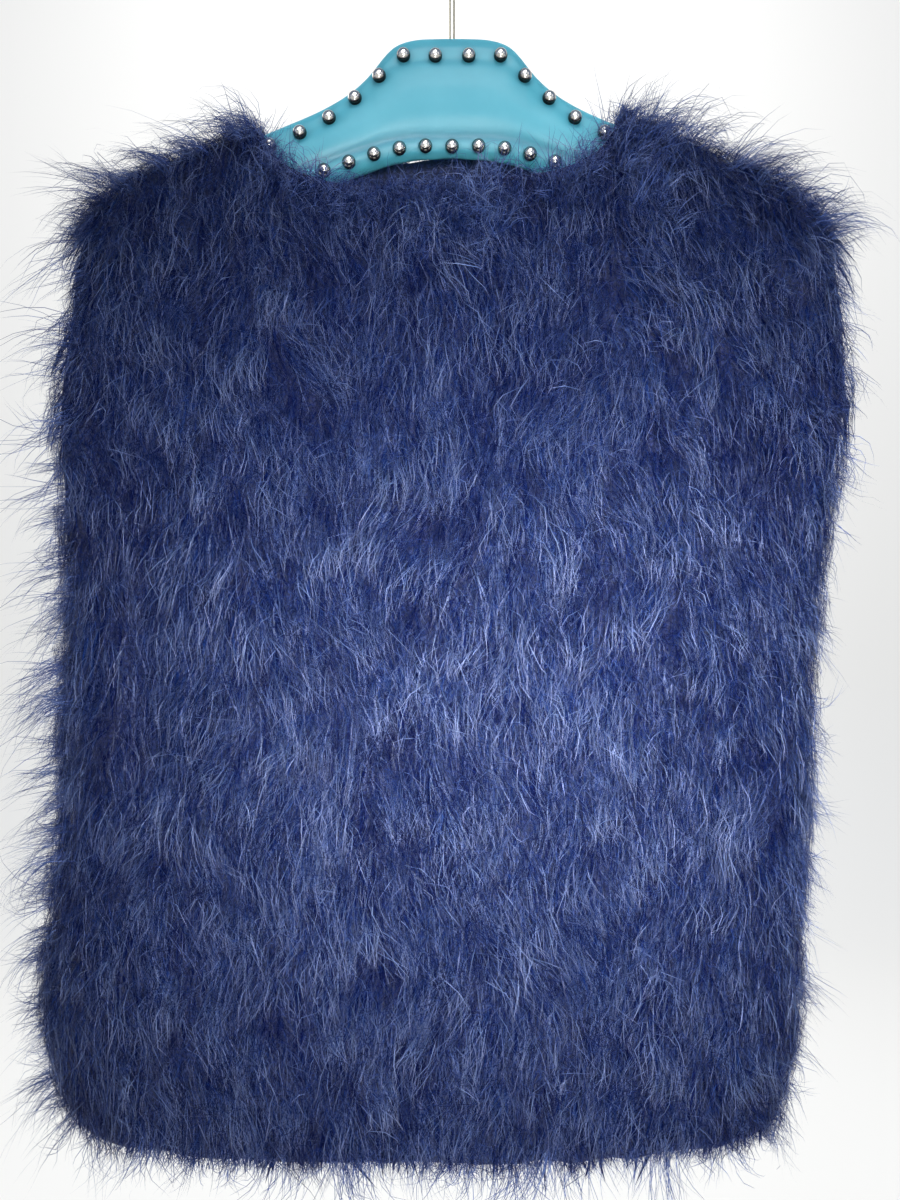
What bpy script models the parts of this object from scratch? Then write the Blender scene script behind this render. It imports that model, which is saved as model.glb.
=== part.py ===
"""Long-haired knit sweater vest on a studded, padded hanger.

Metres, +Z up. The front of the vest faces -Y, so a view along +Y shows it.
The origin is where a rail carries the hook: the top of the hook's inner curve.
"""
from collections import namedtuple
import math

import bmesh
import bpy
import numpy as np
from mathutils import Vector, noise

SEAM_GAP = 0.0003            # clear space kept where two pieces meet

# Hook: a round wire with a plain question-mark curve
WIRE_RADIUS = 0.0020
HOOK_INNER_RADIUS = 0.0190
HOOK_START_DEG = -60.0       # where the shank's bend joins the round part
HOOK_END_DEG = 203.0         # free end
HOOK_ARC_STEPS = 22
BEND_STEPS = 6
SHANK_SUNK = 0.0115          # wire inside the hanger
SOCKET_DEPTH = 0.0118

# Hanger: a padded, leather-covered form with a tall middle and sloping arms
CROWN_Z = -0.0820            # top of the hanger's middle
ARM_SLOPE = 0.42             # fall of the arms, height over width
ARM_START_X = 0.105          # the arms run straight from here
ARM_START_DROP = 0.0562      # below the crown
ARM_ROUND_X = 0.196          # the round ends begin here
ARM_ROUND_LENGTH = 0.016
HANGER_POWER = 2.3           # squareness of the padded section
HANGER_SIDES = 16

HangerStation = namedtuple("HangerStation", "x top bottom half_depth")
HANGER_STATIONS = (          # top and bottom are heights below the crown
    HangerStation(0.000, 0.0000, -0.0771, 0.0125),
    HangerStation(0.020, -0.0004, -0.0780, 0.0125),
    HangerStation(0.031, -0.0026, -0.0797, 0.0125),
    HangerStation(0.038, -0.0062, -0.0812, 0.0125),
    HangerStation(0.045, -0.0138, -0.0831, 0.0125),
    HangerStation(0.053, -0.0242, -0.0861, 0.0125),
    HangerStation(0.064, -0.0346, -0.0896, 0.0125),
    HangerStation(0.077, -0.0432, -0.0942, 0.0127),
    HangerStation(0.090, -0.0498, -0.0988, 0.0128),
    HangerStation(0.105, -0.0562, -0.1035, 0.0130),
    HangerStation(0.150, -0.0751, -0.1165, 0.0130),
    HangerStation(0.196, -0.0944, -0.1305, 0.0125),
)

# Studs: domed metal heads in one row along each edge of the hanger's front
STUD_RADIUS = 0.0044
STUD_HEIGHT = 0.0040
StudRow = namedtuple("StudRow", "x from_top from_bottom")
STUD_ROWS = (                # from the hanger's edges to the studs' middles
    StudRow(0.000, 0.0170, 0.0050),
    StudRow(0.030, 0.0165, 0.0062),
    StudRow(0.047, 0.0090, 0.0066),
    StudRow(0.066, 0.0088, 0.0066),
    StudRow(0.085, 0.0118, 0.0066),
    StudRow(0.105, 0.0128, 0.0066),
)
STUD_STEPS = 10
TOP_STUD_PITCH = 0.0208      # measured along the row
TOP_STUDS_LEFT = 7
TOP_STUDS_RIGHT = 6
LOW_STUD_PITCH = 0.0167
LOW_STUDS_LEFT = 5
LOW_STUDS_RIGHT = 5

# Vest: a knit wall with its lying pile, shaped by sections of its inside face
WALL = 0.0110                # knit and dense pile together
RIM_SHARE = 0.36             # share of the wall that is left at an open edge
RIM_LENGTH = 0.0130          # over which the pile rounds off to an open edge
BODY_POWER = 2.6             # squareness of the body's sections
LOCK_WIDTH = 0.024           # the pile lies in locks, combed downwards
LOCK_LENGTH = 0.075
LOCK_RELIEF = 0.36           # how much the locks vary the wall, as a share of it
HEM_RAGGED = 0.0030          # how far the locks vary the hem's edge
WRAP = 0.012                 # height over which the cloth turns over the arm

VestSection = namedtuple("VestSection", "z half_width centre half_depth")
VEST_SECTIONS = (
    VestSection(-0.100, 0.2335, 0.0030, 0.0150),
    VestSection(-0.150, 0.2335, 0.0030, 0.0205),
    VestSection(-0.204, 0.2335, 0.0030, 0.0300),
    VestSection(-0.226, 0.2370, 0.0030, 0.0335),
    VestSection(-0.262, 0.2400, 0.0026, 0.0370),
    VestSection(-0.314, 0.2402, 0.0006, 0.0405),
    VestSection(-0.378, 0.2360, -0.0035, 0.0425),
    VestSection(-0.443, 0.2328, -0.0068, 0.0440),
    VestSection(-0.507, 0.2315, -0.0093, 0.0450),
    VestSection(-0.571, 0.2311, -0.0106, 0.0462),
    VestSection(-0.636, 0.2326, -0.0152, 0.0475),
    VestSection(-0.700, 0.2345, -0.0182, 0.0480),
    VestSection(-0.735, 0.2290, -0.0178, 0.0465),
    VestSection(-0.768, 0.2200, -0.0175, 0.0430),
    VestSection(-0.800, 0.2180, -0.0175, 0.0420),
)

SHOULDER_TIP_X = 0.2335      # end of the shoulder seam, from the middle
TIP_BEND_X = 0.200           # past here the shoulder seam turns down
TIP_DROP = 0.012
NECK_CENTRE = -0.0080        # the vest sits a little to one side
NECK_HALF = 0.1120
NECK_POWER = 3.0             # a wide, flat boat neck
UNDERARM_Z = -0.425
ARMHOLE_HALF = 0.0220        # half of the armhole's width, front to back
HEM_Z = -0.768

NECK_TURN = (0.0, 0.05, 0.12, 0.21, 0.32, 0.45, 0.60, 0.75, 0.88, 0.97, 1.0)  # of a quarter turn
NECK_COLUMNS = len(NECK_TURN) - 1
SHOULDER_COLUMNS = 12        # columns along a shoulder seam
BODY_ROWS = 24               # even rows between the close ones at both ends
TOP_ROWS = (0.0, 0.001, 0.003, 0.008, 0.016, 0.028)
HEM_ROWS = (0.026, 0.012, 0.004, 0.0)
SIDE_STEPS = (0.010, 0.004, 0.0)
SPREAD_LENGTH = 0.150        # height over which columns spread to the body

# Soft folds: a trough or ridge between two points, its width and its depth
Fold = namedtuple("Fold", "x_top z_top x_low z_low width depth")
FRONT_FOLDS = (
    Fold(-0.140, -0.175, -0.152, -0.330, 0.024, -0.0050),
    Fold(-0.046, -0.205, -0.056, -0.335, 0.022, -0.0040),
    Fold(0.078, -0.190, 0.068, -0.300, 0.022, -0.0045),
    Fold(-0.200, -0.300, -0.178, -0.580, 0.021, -0.0070),
    Fold(0.163, -0.280, 0.170, -0.440, 0.024, -0.0055),
    Fold(0.020, -0.340, 0.030, -0.640, 0.075, 0.0060),
    Fold(-0.110, -0.420, -0.100, -0.620, 0.040, 0.0035),
    Fold(-0.128, -0.610, -0.155, -0.760, 0.026, -0.0045),
    Fold(-0.018, -0.640, -0.045, -0.770, 0.030, -0.0040),
    Fold(0.085, -0.610, 0.104, -0.765, 0.028, -0.0045),
    Fold(0.150, -0.560, 0.140, -0.700, 0.030, 0.0040),
)
BACK_FOLDS = (
    Fold(-0.120, -0.180, -0.135, -0.360, 0.026, -0.0050),
    Fold(0.115, -0.185, 0.128, -0.350, 0.026, -0.0045),
    Fold(0.000, -0.230, -0.008, -0.480, 0.060, 0.0050),
    Fold(0.185, -0.310, 0.165, -0.560, 0.024, -0.0060),
    Fold(-0.180, -0.330, -0.172, -0.520, 0.024, -0.0050),
    Fold(-0.070, -0.560, -0.095, -0.765, 0.030, -0.0045),
    Fold(0.040, -0.600, 0.028, -0.768, 0.030, -0.0040),
    Fold(0.120, -0.620, 0.125, -0.765, 0.030, 0.0040),
)

# What differs between the two panels; facing is the side of Y it lies on
Panel = namedtuple("Panel", "name facing neck_drop neck_bulge hem_drop folds")
PANELS = (
    Panel("vest_front", -1.0, 0.0500, 0.0090, 0.012, FRONT_FOLDS),
    Panel("vest_back", 1.0, 0.0070, 0.0030, 0.004, BACK_FOLDS),
)


def clear_scene():
    """Remove every object that the file opened with."""
    for old in list(bpy.data.objects):
        bpy.data.objects.remove(old, do_unlink=True)


def make_material(name, colour, roughness, metallic):
    """One Principled material; colour is linear red, green and blue."""
    material = bpy.data.materials.new(name)
    material.use_nodes = True
    shader = material.node_tree.nodes["Principled BSDF"]
    shader.inputs["Base Color"].default_value = (*colour, 1.0)
    shader.inputs["Roughness"].default_value = roughness
    shader.inputs["Metallic"].default_value = metallic
    material.diffuse_color = (*colour, 1.0)
    return material


def add_object(name, data, collection, material):
    """A new object in the collection, with one material."""
    thing = bpy.data.objects.new(name, data)
    collection.objects.link(thing)
    data.materials.append(material)
    return thing


def smooth(value):
    """Ease from 0 to 1 while value goes from 0 to 1."""
    value = np.clip(value, 0.0, 1.0)
    return value * value * (3.0 - 2.0 * value)


def monotone(xs, ys, at):
    """Smooth curve through a table's points, without overshoot."""
    xs, ys = np.asarray(xs, float), np.asarray(ys, float)
    run = np.diff(xs)
    slope = np.diff(ys) / run
    tangent = np.zeros(len(xs))
    tangent[0], tangent[-1] = slope[0], slope[-1]
    for k in range(1, len(xs) - 1):
        if slope[k - 1] * slope[k] > 0.0:
            left = 2.0 * run[k] + run[k - 1]
            right = run[k] + 2.0 * run[k - 1]
            tangent[k] = (left + right) / (left / slope[k - 1] + right / slope[k])
    at = np.clip(at, xs[0], xs[-1])
    k = np.clip(np.searchsorted(xs, at) - 1, 0, len(run) - 1)
    t = (at - xs[k]) / run[k]
    return (ys[k] * (1 + 2 * t) * (1 - t) ** 2
            + tangent[k] * run[k] * t * (1 - t) ** 2
            + ys[k + 1] * t ** 2 * (3 - 2 * t)
            + tangent[k + 1] * run[k] * t ** 2 * (t - 1))


def vest_value(column, z):
    """Read one column of the vest's sections at a height."""
    table = VEST_SECTIONS[::-1]
    heights = [row.z for row in table]
    return monotone(heights, [getattr(row, column) for row in table], z)


def hanger_value(column, x):
    """Read one column of the hanger's stations at a distance from its middle."""
    places = [row.x for row in HANGER_STATIONS]
    return monotone(places, [getattr(row, column) for row in HANGER_STATIONS], abs(x))


def hanger_section(x):
    """Middle height, half height and half depth of the hanger at x."""
    top = CROWN_Z + hanger_value("top", x)
    bottom = CROWN_Z + hanger_value("bottom", x)
    end = max(0.0, abs(x) - ARM_ROUND_X)
    if end > 0.0:
        top -= ARM_SLOPE * end
        bottom -= ARM_SLOPE * end
    shrink = math.sqrt(max(0.0, 1.0 - (end / ARM_ROUND_LENGTH) ** 2))
    half_depth = float(hanger_value("half_depth", x))
    return (float(top + bottom) / 2, float(top - bottom) / 2 * shrink, half_depth * shrink)


def rounded(angle, power):
    """Unit superellipse at an angle."""
    c, s = math.cos(angle), math.sin(angle)
    return (math.copysign(abs(c) ** (2.0 / power), c),
            math.copysign(abs(s) ** (2.0 / power), s))


def shoulder_line(x):
    """Height of the shoulder seam's inside face, carried on to the middle."""
    out = np.abs(x)
    line = CROWN_Z - ARM_START_DROP - ARM_SLOPE * (out - ARM_START_X) + SEAM_GAP
    bend = np.clip((out - TIP_BEND_X) / (SHOULDER_TIP_X - TIP_BEND_X), 0.0, None)
    return line - TIP_DROP * bend ** 2


def fold_depth(folds, x, z):
    """Sum of the soft troughs and ridges at a point of a panel."""
    total = np.zeros_like(x)
    for fold in folds:
        along = (fold.z_top - z) / (fold.z_top - fold.z_low)
        middle = fold.x_top + (fold.x_low - fold.x_top) * along
        across = np.exp(-((x - middle) / fold.width) ** 2)
        fade = smooth((along + 0.15) / 0.4) * smooth((1.15 - along) / 0.4)
        total += fold.depth * across * fade
    return total


def section_shares():
    """Shares of width for the columns, evenly spaced along a typical section."""
    typical = VEST_SECTIONS[8]
    angles = np.linspace(0.0, math.pi / 2, 2001)
    across = np.sin(angles) ** (2.0 / BODY_POWER)
    depth = np.cos(angles) ** (2.0 / BODY_POWER)
    steps = np.hypot(np.diff(across) * typical.half_width, np.diff(depth) * typical.half_depth)
    length = np.concatenate(([0.0], np.cumsum(steps)))
    even = NECK_COLUMNS + SHOULDER_COLUMNS - len(SIDE_STEPS)
    last = length[-1] - 2.0 * SIDE_STEPS[0]
    places = [last * k / even for k in range(even + 1)]
    places += [length[-1] - step for step in SIDE_STEPS]
    return np.interp(places, length, across)


def panel_grid(panel):
    """Inside face of a panel as rows of points, from its top edge to the hem."""
    shares = section_shares()
    half = len(shares) - 1
    columns = np.arange(-half, half + 1)
    side = np.sign(columns)
    share = shares[np.abs(columns)]

    # Top edge: the neckline, then the shoulder seams to their tips
    turn = np.array(NECK_TURN)[np.clip(np.abs(columns), 0, NECK_COLUMNS)] * math.pi / 2
    neck_share = np.sin(turn) ** (2.0 / NECK_POWER)
    neck_x = NECK_CENTRE + side * NECK_HALF * neck_share
    start = shares[NECK_COLUMNS]
    along = np.clip((share - start) / (1.0 - start), 0.0, 1.0)
    neck_side = NECK_CENTRE + side * NECK_HALF
    tip = side * SHOULDER_TIP_X + VEST_SECTIONS[2].centre
    top_x = np.where(np.abs(columns) <= NECK_COLUMNS, neck_x,
                     neck_side + (tip - neck_side) * along)
    corner = shoulder_line(neck_side)
    top_z = np.where(np.abs(columns) <= NECK_COLUMNS,
                     corner - panel.neck_drop * np.cos(turn), shoulder_line(top_x))
    middle = half
    top_z[middle] = (shoulder_line(NECK_CENTRE - NECK_HALF)
                     + shoulder_line(NECK_CENTRE + NECK_HALF)) / 2 - panel.neck_drop
    low_z = HEM_Z - panel.hem_drop * (1.0 - share ** BODY_POWER) ** (1.0 / BODY_POWER)
    ragged = [noise.noise((i * 0.61, panel.facing * 5.3, 0.0)) for i in columns]
    low_z -= HEM_RAGGED * np.array(ragged) * (share < 1.0)

    # Rows: close together at both ends and even between
    first, last = TOP_ROWS[-1], HEM_ROWS[0]
    rows = [top_z - step for step in TOP_ROWS]
    for k in range(1, BODY_ROWS):
        rows.append((top_z - first) + (low_z + last - top_z + first) * k / BODY_ROWS)
    rows += [low_z + step for step in HEM_ROWS]
    z = np.array(rows)

    spread = smooth((top_z - z) / SPREAD_LENGTH)
    centre = vest_value("centre", z)
    width = vest_value("half_width", z)
    x = top_x + (centre + width * side * share - top_x) * spread

    # Depth: squarish sections, an open armhole, and the turn over the arm
    reach = np.clip(np.abs(x - centre) / width, 0.0, 1.0)
    bow = (1.0 - reach ** BODY_POWER) ** (1.0 / BODY_POWER)
    tip_z = float(shoulder_line(SHOULDER_TIP_X))
    hole = np.clip((tip_z - z) / (tip_z - UNDERARM_Z), 0.0, 1.0)
    armhole = ARMHOLE_HALF * np.sin(math.pi * hole) ** 0.8
    depth = vest_value("half_depth", z)
    neck = np.exp(-((x - NECK_CENTRE) / 0.075) ** 2 - ((z - top_z[middle]) / 0.070) ** 2)
    depth = armhole + (depth + panel.neck_bulge * neck - armhole) * bow
    depth += fold_depth(panel.folds, x, z) * smooth(bow * 1.6)
    turn = np.clip((shoulder_line(x) - z) / WRAP, 0.0, 1.0)
    depth *= np.sqrt(np.clip(1.0 - (1.0 - turn) ** 2, 0.0, 1.0))
    y = panel.facing * (depth + SEAM_GAP / 2)
    return np.stack([x, y, z], axis=-1)


def open_edges(grid):
    """Points along the neckline, the armholes and the hem of a panel."""
    half = (grid.shape[1] - 1) // 2
    hem = grid[-1]
    neck = grid[0, half - NECK_COLUMNS:half + NECK_COLUMNS + 1]
    sides = grid[:, (0, -1)].reshape(-1, 3)
    armholes = sides[sides[:, 2] >= UNDERARM_Z]
    points = []
    for line in (hem, neck):
        for start, end in zip(line[:-1], line[1:]):
            points += [start + (end - start) * k / 4 for k in range(5)]
    return np.array(points + list(armholes))


def outward(grid, panel):
    """Unit normals of a panel's points, lying in the seam plane at the seams."""
    down = np.gradient(grid, axis=0)
    across = np.gradient(grid, axis=1)
    normal = np.cross(across, down) * panel.facing
    flat = np.abs(grid[:, :, 1]) <= SEAM_GAP
    normal[flat, 1] = 0.0
    weak = np.linalg.norm(normal, axis=-1) < 1e-12
    normal[weak] = (0.0, panel.facing, 0.0)
    normal /= np.linalg.norm(normal, axis=-1, keepdims=True)
    return normal


def lock_relief(grid, panel):
    """Rise and fall of the pile's locks, fading out at the seams."""
    relief = np.zeros(grid.shape[:2])
    for j, i in np.ndindex(relief.shape):
        x, y, z = grid[j, i]
        around = (x + abs(y) * math.copysign(1.0, x)) / LOCK_WIDTH
        relief[j, i] = noise.noise((around, panel.facing * 3.7, z / LOCK_LENGTH))
    seam = smooth((np.abs(grid[:, :, 1]) - SEAM_GAP) / 0.012)
    return 1.0 + LOCK_RELIEF * relief * seam


def make_panel(panel, collection, material):
    """A closed wall between a panel's inside face and its pile's face."""
    inner = panel_grid(panel)
    edges = open_edges(inner)
    near = np.linalg.norm(inner[:, :, None, :] - edges[None, None], axis=-1).min(axis=-1)
    rise = np.clip(near / RIM_LENGTH, 0.0, 1.0)
    share = RIM_SHARE + (1.0 - RIM_SHARE) * np.sqrt(1.0 - (1.0 - rise) ** 2)
    thick = WALL * share * lock_relief(inner, panel)
    outer = inner + outward(inner, panel) * thick[..., None]

    rows, columns = inner.shape[:2]
    mesh = bmesh.new()
    layers = []
    for grid in (inner, outer):
        layers.append([[mesh.verts.new(grid[j, i]) for i in range(columns)] for j in range(rows)])
    for layer in layers:
        for j in range(rows - 1):
            for i in range(columns - 1):
                mesh.faces.new((layer[j][i], layer[j][i + 1], layer[j + 1][i + 1], layer[j + 1][i]))
    rim = [(0, i) for i in range(columns)]
    rim += [(j, columns - 1) for j in range(1, rows)]
    rim += [(rows - 1, i) for i in range(columns - 2, -1, -1)]
    rim += [(j, 0) for j in range(rows - 2, 0, -1)]
    for (j, i), (k, m) in zip(rim, rim[1:] + rim[:1]):
        mesh.faces.new((layers[0][j][i], layers[0][k][m], layers[1][k][m], layers[1][j][i]))
    bmesh.ops.recalc_face_normals(mesh, faces=mesh.faces)
    data = bpy.data.meshes.new(panel.name)
    mesh.to_mesh(data)
    mesh.free()
    data.shade_smooth()
    return add_object(panel.name, data, collection, material)


def make_hanger(collection, cutters, material):
    """The padded form, lofted through its stations, with a socket for the hook."""
    places = []
    for near, far in zip(HANGER_STATIONS[:-1], HANGER_STATIONS[1:]):
        places.append(near.x)
        if far.x <= ARM_START_X:
            places.append((near.x + far.x) / 2)
    places.append(ARM_ROUND_X)
    places += [ARM_ROUND_X + ARM_ROUND_LENGTH * part for part in (0.40, 0.70, 0.90)]
    stations = [-x for x in places[:0:-1]] + places

    mesh = bmesh.new()
    rings = []
    for x in stations:
        middle, half_height, half_depth = hanger_section(x)
        ring = []
        for k in range(HANGER_SIDES):
            c, s = rounded(2 * math.pi * k / HANGER_SIDES, HANGER_POWER)
            ring.append(mesh.verts.new((x, half_depth * c, middle + half_height * s)))
        rings.append(ring)
    for ring, beyond in zip(rings[:-1], rings[1:]):
        for k in range(HANGER_SIDES):
            n = (k + 1) % HANGER_SIDES
            mesh.faces.new((ring[k], ring[n], beyond[n], beyond[k]))
    for ring, sign in ((rings[0], -1.0), (rings[-1], 1.0)):
        x = sign * (ARM_ROUND_X + ARM_ROUND_LENGTH)
        tip = mesh.verts.new((x, 0.0, hanger_section(x)[0]))
        for k in range(HANGER_SIDES):
            mesh.faces.new((ring[k], ring[(k + 1) % HANGER_SIDES], tip))
    bmesh.ops.recalc_face_normals(mesh, faces=mesh.faces)
    data = bpy.data.meshes.new("hanger_body")
    mesh.to_mesh(data)
    mesh.free()
    data.shade_smooth()
    hanger = add_object("hanger_body", data, collection, material)

    drill = bmesh.new()
    bmesh.ops.create_cone(drill, cap_ends=True, segments=16, radius1=WIRE_RADIUS + SEAM_GAP,
                          radius2=WIRE_RADIUS + SEAM_GAP, depth=2 * SOCKET_DEPTH)
    drill_data = bpy.data.meshes.new("hook_socket")
    drill.to_mesh(drill_data)
    drill.free()
    cutter = bpy.data.objects.new("hook_socket", drill_data)
    cutters.objects.link(cutter)
    cutter.location = (0.0, 0.0, CROWN_Z)
    cutter.display_type = "WIRE"
    cutter.hide_render = True
    cut = hanger.modifiers.new("hook_socket", "BOOLEAN")
    cut.operation = "DIFFERENCE"
    cut.solver = "EXACT"
    cut.object = cutter
    return hanger


def make_hook(collection, material):
    """The wire: a shank in its socket, a bend, and the round part over the rail."""
    ring = HOOK_INNER_RADIUS + WIRE_RADIUS
    start = math.radians(HOOK_START_DEG)
    join = Vector((ring * math.cos(start), 0.0, -HOOK_INNER_RADIUS + ring * math.sin(start)))
    turn = -start
    bend_radius = join.x / (1.0 - math.cos(turn))
    shank_top = Vector((0.0, 0.0, join.z - bend_radius * math.sin(turn)))
    points = [Vector((0.0, 0.0, CROWN_Z - SHANK_SUNK)), Vector((0.0, 0.0, CROWN_Z))]
    points.append((points[1] + shank_top) / 2)
    for k in range(BEND_STEPS):
        angle = turn * k / BEND_STEPS
        points.append(shank_top + bend_radius * Vector((1.0 - math.cos(angle), 0.0, math.sin(angle))))
    for k in range(HOOK_ARC_STEPS + 1):
        angle = math.radians(HOOK_START_DEG + (HOOK_END_DEG - HOOK_START_DEG) * k / HOOK_ARC_STEPS)
        points.append(Vector((ring * math.cos(angle), 0.0,
                              -HOOK_INNER_RADIUS + ring * math.sin(angle))))
    curve = bpy.data.curves.new("hook", "CURVE")
    curve.dimensions = "3D"
    curve.bevel_depth = WIRE_RADIUS
    curve.bevel_resolution = 2
    curve.use_fill_caps = True
    spline = curve.splines.new("POLY")
    spline.points.add(len(points) - 1)
    for control, point in zip(spline.points, points):
        control.co = (*point, 1.0)
    return add_object("hook", curve, collection, material)


def edge_path(top):
    """Stud positions along the hanger's upper or lower edge, by arc length."""
    xs = np.linspace(0.0, ARM_ROUND_X, 400)
    edge, sign = [], (1.0 if top else -1.0)
    for x in xs:
        middle, half_height, _ = hanger_section(float(x))
        edge.append((float(x), middle + sign * half_height))
    edge = np.array(edge)
    turn = np.gradient(edge, axis=0)
    turn /= np.linalg.norm(turn, axis=1, keepdims=True)
    inward = np.stack([turn[:, 1], -turn[:, 0]], axis=1) * sign
    rows = np.array(STUD_ROWS)
    inset = np.interp(xs, rows[:, 0], rows[:, 1 if top else 2])
    line = edge + inward * inset[:, None]
    line = line[line[:, 0] >= 0.0]
    length = np.concatenate(([0.0], np.cumsum(np.linalg.norm(np.diff(line, axis=0), axis=1))))
    return line, length


def hanger_face(x, z):
    """Y of the hanger's front face at a point of its outline."""
    middle, half_height, half_depth = hanger_section(x)
    level = min(1.0, abs(z - middle) / half_height)
    return -half_depth * (1.0 - level ** HANGER_POWER) ** (1.0 / HANGER_POWER)


def make_studs(collection, material):
    """Domed heads, each turned from one profile and set square on the leather."""
    places = []
    for top, pitch, shift, counts in (
            (True, TOP_STUD_PITCH, 0.5, (TOP_STUDS_LEFT, TOP_STUDS_RIGHT)),
            (False, LOW_STUD_PITCH, 0.0, (LOW_STUDS_LEFT, LOW_STUDS_RIGHT))):
        line, length = edge_path(top)
        for side, count in zip((-1.0, 1.0), counts):
            first = 0 if shift else 1
            for k in range(first, first + count):
                at = (k + shift) * pitch
                places.append((side * np.interp(at, length, line[:, 0]),
                               float(np.interp(at, length, line[:, 1]))))
        if not shift:
            places.append((0.0, float(line[0, 1])))
    profile = ((0.0, 1.0), (0.52, 0.88), (0.88, 0.50), (1.0, 0.0), (0.0, 0.0))
    for number, (x, z) in enumerate(sorted(places), start=1):
        step = 0.0005
        tilt_x = (hanger_face(x + step, z) - hanger_face(x - step, z)) / (2 * step)
        tilt_z = (hanger_face(x, z + step) - hanger_face(x, z - step)) / (2 * step)
        normal = Vector((tilt_x, -1.0, tilt_z)).normalized()
        name = "stud_%02d" % number
        data = bpy.data.meshes.new(name)
        mesh = bmesh.new()
        points = [mesh.verts.new((r * STUD_RADIUS, 0.0, h * STUD_HEIGHT)) for r, h in profile]
        for start, end in zip(points[:-1], points[1:]):
            mesh.edges.new((start, end))
        mesh.to_mesh(data)
        mesh.free()
        stud = add_object(name, data, collection, material)
        stud.location = Vector((x, hanger_face(x, z), z)) + normal * SEAM_GAP
        stud.rotation_mode = "QUATERNION"
        stud.rotation_quaternion = normal.to_track_quat("Z", "Y")
        turn = stud.modifiers.new("turned", "SCREW")
        turn.steps = STUD_STEPS
        turn.render_steps = STUD_STEPS
        turn.use_merge_vertices = True
        turn.merge_threshold = 0.00001
        turn.use_normal_calculate = True
        turn.use_normal_flip = True


def main():
    """Build every piece of the vest and its hanger."""
    clear_scene()
    parts = bpy.data.collections.new("sweater_vest")
    cutters = bpy.data.collections.new("cutters")
    for collection in (parts, cutters):
        bpy.context.scene.collection.children.link(collection)
    knit = make_material("long_haired_knit", (0.060, 0.085, 0.235), 0.85, 0.0)
    leather = make_material("turquoise_leather", (0.170, 0.540, 0.680), 0.42, 0.0)
    chrome = make_material("bright_metal", (0.80, 0.78, 0.74), 0.18, 1.0)
    wire = make_material("nickel_wire", (0.72, 0.68, 0.58), 0.28, 1.0)
    for panel in PANELS:
        make_panel(panel, parts, knit)
    make_hanger(parts, cutters, leather)
    make_hook(parts, wire)
    make_studs(parts, chrome)


main()
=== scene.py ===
"""Long-haired sweater vest on a studded hanger: the finish of every surface.

Laid out as an add-on with one operator for each group of pieces. Metres, +Z up, and the
front of the vest faces -Y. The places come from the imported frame.
"""

from collections import namedtuple
import math

import bpy
from bpy.props import FloatProperty, FloatVectorProperty, PointerProperty
from mathutils import Matrix, Vector, kdtree, noise
import numpy as np


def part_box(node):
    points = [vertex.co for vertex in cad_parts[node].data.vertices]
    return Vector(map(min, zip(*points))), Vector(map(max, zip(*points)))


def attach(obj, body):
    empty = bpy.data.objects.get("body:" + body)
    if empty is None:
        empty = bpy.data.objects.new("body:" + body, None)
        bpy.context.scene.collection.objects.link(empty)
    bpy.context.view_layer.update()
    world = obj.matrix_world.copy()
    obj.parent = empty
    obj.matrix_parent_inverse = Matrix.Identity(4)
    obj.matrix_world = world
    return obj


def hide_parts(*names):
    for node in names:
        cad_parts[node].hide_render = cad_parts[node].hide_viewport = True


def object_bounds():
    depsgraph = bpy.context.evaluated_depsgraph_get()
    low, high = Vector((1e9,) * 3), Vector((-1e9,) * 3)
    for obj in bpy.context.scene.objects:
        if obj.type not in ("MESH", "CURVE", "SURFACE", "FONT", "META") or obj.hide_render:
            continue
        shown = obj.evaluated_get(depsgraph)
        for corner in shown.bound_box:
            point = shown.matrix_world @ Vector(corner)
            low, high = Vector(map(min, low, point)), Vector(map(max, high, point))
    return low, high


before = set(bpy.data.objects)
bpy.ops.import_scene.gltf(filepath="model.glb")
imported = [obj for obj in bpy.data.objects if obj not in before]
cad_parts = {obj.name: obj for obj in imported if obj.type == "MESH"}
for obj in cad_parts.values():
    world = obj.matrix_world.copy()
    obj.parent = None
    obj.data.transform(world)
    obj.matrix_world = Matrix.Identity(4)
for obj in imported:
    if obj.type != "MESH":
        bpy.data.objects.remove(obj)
CAD_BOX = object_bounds()

bl_info = {
    "name": "Long-haired sweater vest",
    "version": (1, 0, 0),
    "blender": (4, 5, 0),
    "location": "View3D > Sidebar > Vest",
    "description": "Builds the knit, pile, hanger and stage of a long-haired sweater vest",
    "category": "Object",
}

BODY = "root"
STUD_MAP = "height"  # map of a stud: its height from base to top
PAINTED_SHADE = "fold"  # painted shade on the leather, in its crease and round each stud, from 0 to 1
NO_LIMIT = 9.0  # more than any measure of the vest

RIM_ANGLE = math.radians(36.0)  # sharper than any fold, blunter than a wall's rim
SEAM_GAP = 0.0004  # rims closer than this to the middle plane meet in a seam
MERGE = 0.00001  # points closer than this become one
SKIN_COLUMNS = 36  # marks along an edge of the knit, and along one of the hanger
HANGER_COLUMNS = 170
PILE_ROOT = 0.8  # share of the knit's thickness from which its hairs grow

# Where the fur parts: hair is combed away from the top of each shoulder
Crown = namedtuple("Crown", "x z pull reach")
CROWNS = (
    Crown(-0.128, -0.112, 1.25, 0.105),
    Crown(0.119, -0.112, 1.25, 0.105),
)

# Slow and quick wandering of the comb: size of a swirl, its turn, and where it starts
Swirl = namedtuple("Swirl", "size turn start")
SWIRLS = (
    Swirl(0.075, 0.55, 3.1),
    Swirl(0.026, 0.50, 17.7),
    Swirl(0.011, 0.35, 41.3),
)
SIDE_LEAN = 0.30  # how much the hair near the sides leans outwards
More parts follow.
